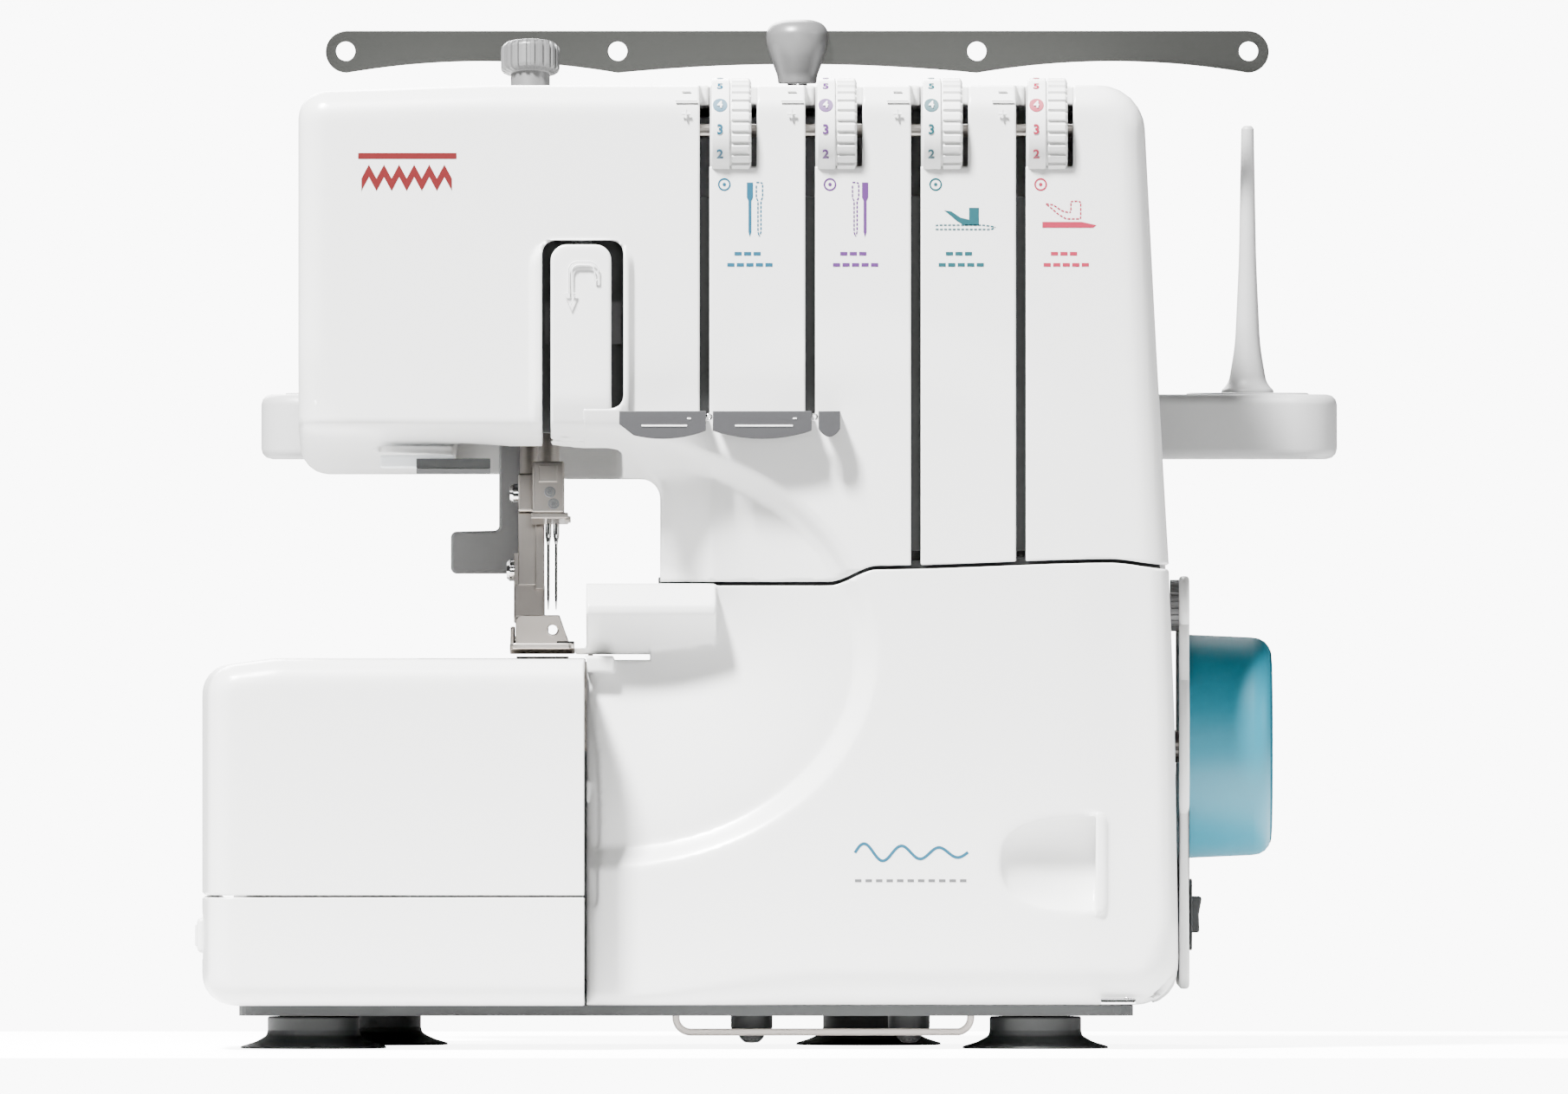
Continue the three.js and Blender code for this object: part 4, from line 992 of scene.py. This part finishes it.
def build_stand():
    low, high = node_box("spool_stand")
    plan = rounded_corners(
        [(low[0], 60, 14), (-62, 60, 4), (-60, 55.4, 2), (77, 55.4, 2), (79, 60, 4), (high[0], 60, 14),
         (high[0], high[1], 14), (low[0], high[1], 14)], 10,
    )
    slab = plate("stand_slab", [plan, circle(*POLE, 6.8, 40)], "top", (low[2], high[2]), 3.2)
    place(slab, "body", "grey_plastic", SATIN, "spool_stand")
    for i, x in enumerate(SPOOLS):
        low, high = node_box(f"spool_pin_{i + 1}")
        z = low[2]
        corners = [
            (0, z, 0), (8.2, z, 0.2), (8.0, z + 1.2, 0.6), (5.9, z + 3.2, 2), (3.9, z + 15, 4),
            (2.7, z + 41, 6), (1.95, high[2] - 0.8, 0.5), (1.2, high[2], 0.2), (0, high[2], 0),
        ]
        pin = turned(f"thread_pin_{i + 1}", corners, "z", (x, 98), 48)
        place(pin, "body", "grey_plastic", SATIN, f"spool_pin_{i + 1}")
        ring = [(9, z - 0.6, 0), (19, z - 0.6, 0.4), (19, z + 0.1, 0.4), (18, z + 0.3, 0), (9, z + 0.3, 0)]
        rest = turned(f"spool_rest_{i + 1}", [*ring, ring[0]], "z", (x, 98), 72)
        place(rest, "body", "grey_plastic", SATIN)

    tubes = (
        ("pole_lower_tube", 6.4, 98, 246, "body", ()),
        ("pole_middle_tube", 4.9, 118, 270, "pole_middle", ("pole_middle_tube",)),
    )
    for name, radius, start, end, body, replaced in tubes:
        corners = [
            (radius - 1.1, start, 0), (radius, start, 0.3), (radius, end - 9, 0), (radius, end - 0.4, 0.4),
            (radius - 1.1, end, 0), (radius - 1.1, start, 0),
        ]
        place(turned(name + "_skin", corners, "z", POLE, 48), body, "steel", CHROME, *replaced)
    rod = turned("pole_rod", [(0, 138, 0), (3.05, 138, 0.4), (3.05, 300, 0.3), (0, 300, 0)], "z", POLE, 40)
    place(rod, "pole_top", "chrome", CHROME, "pole_top_rod")
    low, high = node_box("pole_cap")
    corners = [
        (0, low[2], 0), (5.9, low[2], 0.5), (6.2, 299, 1), (9.0, 306.5, 2), (9.6, 309.5, 1),
        (9.6, 312.4, 1.0), (8.2, 314.9, 1.4), (4.5, high[2], 2), (0, high[2], 0),
    ]
    place(turned("pole_knob", corners, "z", POLE, 64), "pole_top", "grey_plastic", PALE, "pole_cap")

    middle, half, reach = 306.3, 6.5, 139.3
    left, right, low_edge = POLE[0] - reach, POLE[0] + reach, middle - half

    def sag(start, turn, end, depth):
        points = []
        for k in range(1, 21):
            t = k / 20
            u = (1 - t) ** 2 * start + 2 * t * (1 - t) * turn + t * t * end
            points.append((u, low_edge + 2 * t * (1 - t) * depth))
        return points

    def cap(u, start):
        angles = [start + math.pi * k / 16 for k in range(17)]
        return [(u + half * math.cos(angle), middle + half * math.sin(angle)) for angle in angles]

    edge = cap(left, math.pi / 2)
    edge += sag(left, (left + SPOOLS[1]) / 2, SPOOLS[1], 7.2)
    edge += sag(SPOOLS[1], POLE[0], SPOOLS[2], 5.4)
    edge += sag(SPOOLS[2], (SPOOLS[2] + right) / 2, right, 7.2)
    edge += cap(right, -math.pi / 2)[1:]
    eyes = [circle(x, middle + 0.2, 2.95, 32) for x in SPOOLS]
    bar = plate("guide_bar", [edge, *eyes], "front", (-72.6, -71.4), 0.25)
    place(bar, "pole_top", "steel", BRUSHED, "thread_guide_bar")
build_stand()

# ---------------------------------------------------------------- needles, presser and lifter

LEANING = lean_matrix()


def lean_turned(name, corners, across, back, sides=40, ribs=None):
    return turned(name, corners, LEANING, (across, back), sides, ribs)


def screw_head(name, radius, depth, matrix):
    """A small plain screw head that faces its own +Z."""
    edge = [(radius, 0, 0), (radius, depth * 0.6, 0.2), (radius * 0.75, depth, 0.15)]
    return turned(name, [(0, 0, 0), *edge, (0, depth, 0)], matrix, (0, 0), 32)
def facing_front(x, back, up):
    return LEANING @ Matrix.Translation((x * MM, back * MM, up * MM)) @ Matrix.Rotation(math.pi / 2, 4, "X")


def facing_left(x, y, z):
    return Matrix.Translation((x * MM, y * MM, z * MM)) @ Matrix.Rotation(-math.pi / 2, 4, "Y")


def build_needles():
    bar = lean_turned("needle_rod", [(0, 57.2, 0), (3.3, 57.2, 0.4), (3.3, 172, 0.4), (0, 172, 0)], -67.6, 0)
    place(bar, "needle_carrier", "steel", STEEL, "needle_bar")
    clamp = joined_boxes(
        "needle_clamp_block",
        LEANING,
        ((-72.5, -4.5, 44.8), (-62.8, 4.5, 61), 0.7),
        ((-70.6, -4.95, 54.3), (-65.0, -4.2, 59.6), 0.22),
        ((-72.9, -4.4, 43), (-61.6, 4.4, 44.9), 0.4),
        ((-62.6, -4.2, 42.2), (-60.8, -1.2, 43.8), 0.3),
    )
    place(clamp, "needle_carrier", "steel", STEEL, "needle_clamp")
    rim = [(1.15, 0, 0), (1.75, 0, 0), (1.6, 0.35, 0.15), (1.15, 0.3, 0), (1.15, 0, 0)]
    socket = [(0, 0, 0), (1.1, 0, 0), (1.1, 0.5, 0.1), (0.5, 0.5, 0), (0.4, 0.2, 0), (0, 0.2, 0)]
    for i, (x, up) in enumerate(((-67.2, 51.2), (-66.1, 47.5))):
        where = facing_front(x, -4.45, up)
        parts = [turned("rim", rim, where, (0, 0), 32), turned("socket", socket, where, (0, 0), 6)]
        place(joined(f"needle_screw_{i + 1}", *parts), "needle_carrier", "dark", CAST)
    corners = [
        (0, 15, 0), (0.2, 15.6, 0), (0.43, 19, 0.8), (0.43, 36, 0.8), (0.98, 38.4, 0.8), (0.98, 55.5, 0.1),
        (0, 55.5, 0),
    ]
    for side, x in (("left", -67.7), ("right", -65.3)):
        needle = lean_turned(f"needle_{side}_steel", corners, x, 0, 20)
        place(needle, "needle_carrier", "chrome", CHROME, f"needle_{side}")
build_needles()


def foot_field(x, y, z):
    """The foot: a sole with a turned-up toe, two side walls and a front plate with a hole."""
    toe = 1.6 * ramp(-y, 76, 87)
    sole = both(np.abs(z - 121.4 - toe) - 0.9, block2(x, y, (-79.3, -86), (-59.6, -36), 2))
    slot = both(block2(x, y, (-70.3, -67), (-62.7, -54), 1), 118 - z)
    wall_left = block(x, y, z, (-79.3, -54.4, 121), (-77.9, -42.4, 128.9), 0.5)
    wall_right = block(x, y, z, (-69.1, -54.4, 121), (-67.7, -42.4, 128.9), 0.5)
    lean_edge = (x + 64.2) * 0.94 + (z - 132.2) * 0.33
    upright = both(np.abs(y + 56.6) - 0.8, block2(x, z, (-77.7, 120.8), (-60.8, 132.4), 1.4), lean_edge)
    eye = length_of(x + 66.4, z - 127.9) - 1.45
    upright = carve(upright, both(eye, np.abs(y + 56.6) - 3), 0.2)
    return either(carve(sole, slot, 0.2), wall_left, wall_right, upright)


def build_presser():
    rod = lean_turned("presser_rod", [(0, 48, 0), (3, 48, 0.3), (3, 168, 0.4), (0, 168, 0)], -73.5, 12)
    place(rod, "presser", "steel", STEEL, "presser_bar")
    bracket = bevelled_box("presser_bracket", (-77, 7.5, 48), (-70, 16, 60), 0.8, LEANING)
    place(bracket, "presser", "steel", STEEL)
    knob = screw_head("bracket_screw", 3.1, 2.6, LEANING @ facing_left(-77, 12, 54.6))
    place(knob, "presser", "chrome", CHROME)
    shank = joined_boxes(
        "foot_shank",
        LEANING,
        ((-77, 9, 25), (-70.5, 15, 47.7), 0.4),
        ((-78.3, 9.6, 25), (-71.9, 14.4, 35.4), 0.3),
        ((-77.4, 9, 10.4), (-69.6, 15, 15.4), 0.5),
        ((-71.7, 7.2, 23.5), (-68.9, 8.8, 44), 0.25),
    )
    place(shank, "presser", "steel", STEEL, "presser_foot_holder")
    shoulder = bevelled_box("foot_shoulder", (-78.3, 8.9, 14.4), (-68.8, 15.1, 25.3), 0.5, LEANING)
    place(shoulder, "presser", "steel", SHOULDER)
    screw = screw_head("shank_screw", 3.4, 2.3, LEANING @ facing_left(-78.2, 12, 30.5))
    place(screw, "presser", "chrome", CHROME)
    axes = (
        lines(-79.3, -59.6, 0.55, [-79.3, -77.9, -69.1, -67.7, -62.7, -59.6], 0.25, 2),
        lines(-87, -36, 0.6, [-57.4, -55.8, -86], 0.25, 2),
        lines(120, 133, 0.45),
    )
    place(net("foot_steel", foot_field, axes), "foot", "steel", STEEL, "presser_foot")
    stop = bevelled_box("foot_block", (-65.1, -58.3, 121.6), (-59.7, -56.0, 124.4), 0.3)
    place(stop, "foot", "black", BLACK)
    corners = [(0, -79.4, 0), (1.2, -79.4, 0.3), (1.2, -67.9, 0.3), (0, -67.9, 0)]
    place(turned("foot_pin", corners, "x", (-48.4, 124.7), 24), "foot", "steel", CHROME)
    shape = rounded_corners(
        [(-97.8, 145, 1.8), (-76.4, 145, 2), (-76.4, 190, 2), (-83, 190, 2), (-83, 158.3, 1.5),
         (-97.8, 157.9, 1.8)], 6,
    )
    lever = plate("lifter_lever", [shape], "front", (19, 25), 1.1)
    place(lever, "lifter", "mid_grey", LEVER, "presser_lifter")

    def flutes(angle, radius, along):
        return radius - (0.65 if radius > 8.2 and math.sin(angle * 22) > 0 else 0)

    corners = [
        (0, 175.5, 0), (6, 175.5, 0), (6, 186.9, 0.4), (8.6, 187.6, 0.3), (9, 188.4, 0.3), (9, 194.9, 0.5),
        (7.9, 196.2, 0.4), (6.2, 196.2, 0.2), (5.9, 195.8, 0.1), (0, 195.8, 0),
    ]
    knob = lean_turned("pressure_dial", corners, -73.5, 12, 264, flutes)
    place(knob, "knob", "grey_plastic", PALE, "pressure_knob")


build_presser()
# ---------------------------------------------------------------- take-up, thread guides and lamp


def tongue_field(x, y, z):
    skin = head_solid(x, y, z)
    shape = block2(x, z, (-66.7, 150), (-48.2, 245.4), 5)
    return both(ball_sum(shape, skin + 0.1, radius=0.9), -skin - 3.2, 183.4 - z)


def build_take_up():
    xs = lines(-67, -48, 0.9, [-66.7, -48.2], 0.4)
    ys = lines(-106, -88, 0.7)
    zs = lines(183, 246, 1.2, [245.4, 183.4], 0.4)
    place(net("take_up_tongue", tongue_field, (xs, ys, zs)), "body", "white", WHITE, "take_up_cover")
    # Dark plates behind the two take-up slots: painted shade inside the slots.
    for i, (left, right) in enumerate(((-70.5, -59.5), (-54.3, -43.5))):
        back = bevelled_box(f"take_up_shade_{i + 1}", (left, -90.5, 188), (right, -89.3, 249), 0.2)
        place(back, "body", "dark", DARK)
    arrow = [
        (-61.3, 230.5), (-61.3, 238.2), (-60.4, 239.6), (-58.9, 240.2), (-54.6, 240.2), (-53.0, 239.5),
        (-52.2, 238.0), (-52.2, 234.5), (-53.3, 234.5), (-53.3, 237.6), (-54.0, 238.7), (-55.0, 239.1),
        (-58.6, 239.1), (-59.6, 238.6), (-60.2, 237.6), (-60.2, 230.5), (-59.0, 230.5), (-60.75, 226.4),
        (-62.5, 230.5),
    ]
    rim = [(u, FRONT - 2.62, v) for u, v in arrow]
    place(wire("thread_arrow", [*rim, rim[0]], 0.24), "body", "white", WHITE)
    guides = (("left", -45.8, -19.4), ("middle", -17.3, 12.8), ("right", 14.9, 21.5))
    for name, left, right in guides:
        wide = right - left
        top = 188.6 if wide > 8 else 189.2
        steps = [k / 12 for k in range(13)]
        arc = [(left + wide * t, top - 2.5 * math.sin(math.pi * t) ** 0.8) for t in steps]
        if name == "left":
            arc[0] = (left, 190.6)
            arc[1] = (left + wide / 12, 188.9)
        edge = [*arc, (right, 194.6), (left, 194.6)]
        lip = plate("lip", [edge], "front", (109.9, 110.8), 0.2)
        shelf = bevelled_box("shelf", (left, -110.6, 193.7), (right, FRONT + 0.5, 194.6), 0.2)
        place(joined(f"guide_{name}_plate", lip, shelf), "body", "mid_grey", GREY, f"thread_guide_{name}")
        # Thin white strips across the wide guide plates.
        if wide > 8:
            line = ((left + 6.8, -111.0, 189.9), (right - 5.7, -110.7, 190.45), 0.1)
            dash = ((right - 5.7, -111.0, 192.1), (right - 4.5, -110.7, 192.6), 0.1)
            place(joined_boxes(f"guide_{name}_marks", STILL, line, dash), "body", "white", WHITE)
    for i, x in enumerate((-18.5, 13.7)):
        angles = np.linspace(0, 2 * math.pi, 17)
        eye = [(x + 0.85 * math.cos(angle), -108.9, 192.8 + 0.85 * math.sin(angle)) for angle in angles]
        place(wire(f"eyelet_{i + 1}", eye, 0.3), "body", "steel", CHROME)
    lens = bevelled_box("lamp_cover", (-118.9, -82, 177.3), (-96.2, -62, 181.3), 0.8)
    place(lens, "body", "lens", LENS, "lamp_lens")
    frame = bevelled_box("lamp_frame", (-96, -82, 175.8), (-85.5, -64, 179.8), 0.5)
    place(frame, "body", "grey_plastic", SATIN)
    slot = bevelled_box("lamp_slot", (-107.8, -84.7, 177.2), (-85.2, -83.4, 180.2), 0.2)
    place(slot, "body", "dark", DARK)
    rail = bevelled_box("lamp_rail", (-107.8, -84.9, 175.4), (-85.2, -83.2, 177.2), 0.3)
    place(rail, "body", "mid_grey", LEVER)


build_take_up()


def dial_marks():
    """Raised minus, line and plus beside each dial, on the rounded top edge."""
    for i, (low, _) in enumerate(DIALS):
        x = low[0] - 7.1
        bars = []

        def surface(z):
            return FRONT + 9 - math.sqrt(81 - max(z - 285, 0) ** 2)

        for z, half in ((292.1, 1.3), (289.2, 3.3), (285.2, 1.3)):
            bars.append(wire("bar", [(x - half, surface(z), z), (x + half, surface(z), z)], 0.3))
        bars.append(wire("bar", [(x, surface(z), z) for z in (283.9, 285.2, 286.5)], 0.3))
        place(joined(f"dial_{i + 1}_marks", *bars), "body", "white", WHITE)


dial_marks()

# ---------------------------------------------------------------- printed pictures


def printed(name, outlines, material, face=head_face):
    """A thin print that follows the front surface behind it."""
    data = fine(curve_mesh(name, outlines, FACING["front"], 0.06), 2.0)
    for vertex in data.vertices:
        x, y, z = (value / MM for value in vertex.co)
        vertex.co.y = (y + float(face(np.array(x), np.array(z))) - 0.03) * MM
    piece = shaded(name, data)
    piece.data.materials.append(material)
    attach(piece, "cover" if face is cover_face else "body")


def ribbon(points, wide, closed=False):
    """A closed outline of that width along a line of points."""
    pts = np.array(points, float)
    if closed:
        ahead, behind = np.roll(pts, -1, axis=0), np.roll(pts, 1, axis=0)
    else:
        ahead, behind = np.vstack([pts[1:], pts[-1:]]), np.vstack([pts[:1], pts[:-1]])
    way = ahead - behind
    way /= np.hypot(way[:, 0], way[:, 1])[:, None]
    side = np.stack([-way[:, 1], way[:, 0]], axis=1) * wide / 2
    if closed:
        return [(pts + side).tolist(), (pts - side).tolist()]
    return [np.vstack([pts + side, (pts - side)[::-1]]).tolist()]


def dashes(points, wide, dash, gap):
    """Short ribbons along a line."""
    pts = np.array(points, float)
    step = np.hypot(*np.diff(pts, axis=0).T)
    along = np.concatenate([[0], np.cumsum(step)])
    result = []
    at = 0.0
    while at + dash < along[-1]:
        ends = [(np.interp(s, along, pts[:, 0]), np.interp(s, along, pts[:, 1])) for s in (at, at + dash)]
        result += ribbon(ends, wide)
        at += dash + gap
    return result


def needle_picture(x):
    """A machine needle seen from the side: thick shank above, blade and point below."""
    top, low = 264.3, 247.6
    half = [(0.95, top), (0.95, top - 4.6), (0.45, top - 5.6), (0.45, low + 1.6)]
    return [(x - 0.95, top), *[(x + u, v) for u, v in half], (x, low), *[(x - u, v) for u, v in half[:0:-1]]]


def looper_picture(x, z):
    """A looper: a curved arm that ends in a block."""
    arm = [(-5.4, 1.2), (-3.2, 0.9), (-0.4, -1.0), (2.2, -1.6), (2.2, 2.0), (5.2, 2.0), (5.2, -3.4),
           (0.8, -3.4), (-1.6, -2.0), (-3.4, -0.4)]
    return [(x + u, z + v) for u, v in arm]


def print_pictures():
    for i, ((low, _), material) in enumerate(zip(DIALS, PRINTS)):
        left, z = low[0], 254.6
        ring = ribbon(circle(left + 4.5, 263.7, 1.7), 0.5, True)
        printed(f"print_{i + 1}_ring", [*ring, circle(left + 4.5, 263.7, 0.55, 16)], material)
        if i < 2:
            places = (left + 12.3, left + 15.2)
            solid, ghost = [needle_picture(x) for x in (places if i == 0 else places[::-1])]
        elif i == 2:
            solid = looper_picture(left + 12.5, z)
            shape = ((4.5, -4.6), (21.5, -4.6), (23, -3.9), (19, -3.3), (4.5, -3.3))
            ghost = [(left + u, z + v) for u, v in shape]
        else:
            shape = ((5.0, -4.1), (20.5, -4.1), (21.5, -3.3), (17, -2.3), (5.0, -2.3))
            solid = [(left + u, z + v) for u, v in shape]
            ghost = looper_picture(left + 11.5, z + 2)
        printed(f"print_{i + 1}_{'needle' if i < 2 else 'looper'}", [solid], material)
        printed(f"print_{i + 1}_ghost", dashes([*ghost, ghost[0]], 0.42, 0.9, 0.4), material)
        for k, half in enumerate((5.2, 7.4)):
            bar = [(left + 12.8 - half, 242.6 - 3.4 * k), (left + 12.8 + half, 242.6 - 3.4 * k)]
            printed(f"print_{i + 1}_label_{k + 1}", dashes(bar, 1.1, 2.2, 0.7), material)
    starts = [-124.4 + 4.6 * k for k in range(7)]
    stitches = [point for u in starts for point in ((u, 263.6), (u + 2.3, 267.9))][:-1]
    above, below = [[(u, v + shift) for u, v in stitches] for shift in (1.9, -1.9)]
    printed("stitch_mark", [above + below[::-1]], PRINT_RED)
    printed("stitch_line", ribbon([(-125.4, 272.4), (-95.4, 272.4)], 1.8), PRINT_RED)
    wave = [(26 + 0.5 * k, 60 + 3.0 * math.sin(0.5 * k * 0.55) * math.exp(-0.012 * k)) for k in range(70)]
    printed("thread_mark", ribbon(wave, 0.9), PRINT_BLUE, cover_face)
    printed("thread_mark_line", dashes([(26, 51.5), (60.6, 51.5)], 0.9, 2.0, 1.2), PRINT_GREY, cover_face)
print_pictures()

# ---------------------------------------------------------------- finishes of the carried-over CAD nodes

CARRIED = {
    BLACK: ("base_plate", "motor_pulley", "drive_motor", "power_inlet"),
    RUBBER: ("drive_belt",),
    CAST: ("machine_frame",),
    STEEL: ("main_shaft", "upper_knife", "lower_knife", "upper_looper", "lower_looper", "dial_axle",
            "needle_plate", "pole_lower_tube"),
    CHROME: ("feed_dogs", "cover_hinge_rod"),
    DARK: ("thread_channel_plate",),
    GREY: ("take_up_lever",),
}
for material, names in CARRIED.items():
    for name in names:
        frame["nodes"][name].data.materials.clear()
        frame["nodes"][name].data.materials.append(material)

# ---------------------------------------------------------------- floor, light and camera


WORLD_LIGHT, WORLD_SEEN, FLOOR_GLOW = 0.06, 12, 7
FRAME_WIDTH, LENS_LENGTH, SENSOR_WIDTH = 0.4778, 900, 36


def stage():
    world = bpy.data.worlds.new("studio")
    world.use_nodes = True
    tree = world.node_tree
    background = tree.nodes["Background"]
    background.inputs["Color"].default_value = (1, 1, 1, 1)
    background.inputs["Strength"].default_value = WORLD_LIGHT
    seen = shader_node(tree, "Background", Strength=WORLD_SEEN)
    path = shader_node(tree, "LightPath")
    mix = shader_node(tree, "MixShader")
    link(
        tree,
        (path, "Is Camera Ray", mix, "Fac"),
        (background, "Background", mix, 1),
        (seen, "Background", mix, 2),
        (mix, "Shader", tree.nodes["World Output"], "Surface"),
    )
    bpy.context.scene.world = world
    corners = [(-1.2, -0.3, 0), (1.2, -0.3, 0), (1.2, 0.35, 0), (-1.2, 0.35, 0)]
    floor = mesh_object("floor", corners, [(0, 1, 2, 3)])
    paper = finish("floor", (0.9, 0.9, 0.9), 0.6, grain=30)
    floor.data.materials.append(paper)
    tree = paper.node_tree
    shader = tree.nodes["Principled BSDF"]
    shader.inputs["Emission Color"].default_value = (1, 1, 1, 1)
    path = shader_node(tree, "LightPath")
    glow = shader_node(tree, "Math")
    glow.operation = "MULTIPLY"
    glow.inputs[1].default_value = FLOOR_GLOW
    link(tree, (path, "Is Camera Ray", glow, 0), (glow, "Value", shader, "Emission Strength"))
    def lamp(name, where, towards, size, power):
        light = bpy.data.lights.new(name, "AREA")
        light.shape = "RECTANGLE"
        light.size, light.size_y = size
        light.energy = power
        holder = bpy.data.objects.new(name, light)
        bpy.context.scene.collection.objects.link(holder)
        holder.location = where
        aim = Vector(towards) - Vector(where)
        holder.rotation_euler = aim.to_track_quat("-Z", "Y").to_euler()

    middle = (0, 0, 0.15)
    lamp("key", (-0.9, -1.3, 2.5), middle, (0.4, 0.4), 780)
    lamp("front", (0.2, -2.6, 0.6), middle, (0.8, 0.6), 12)
    lamp("right", (1.9, -0.6, 0.9), middle, (0.6, 0.8), 14)
    lamp("rear", (-0.4, 1.7, 1.1), middle, (1, 1), 90)

    camera_data = bpy.data.cameras.new("camera")
    camera_data.lens = LENS_LENGTH
    camera_data.sensor_width = SENSOR_WIDTH
    camera_data.clip_end = 60
    camera = bpy.data.objects.new("camera", camera_data)
    bpy.context.scene.collection.objects.link(camera)
    distance = FRAME_WIDTH * camera_data.lens / camera_data.sensor_width
    camera.location = (0.0044, -0.102 - distance, 0.1532)
    camera.rotation_euler = (math.pi / 2, 0, 0)
    bpy.context.scene.camera = camera


stage()
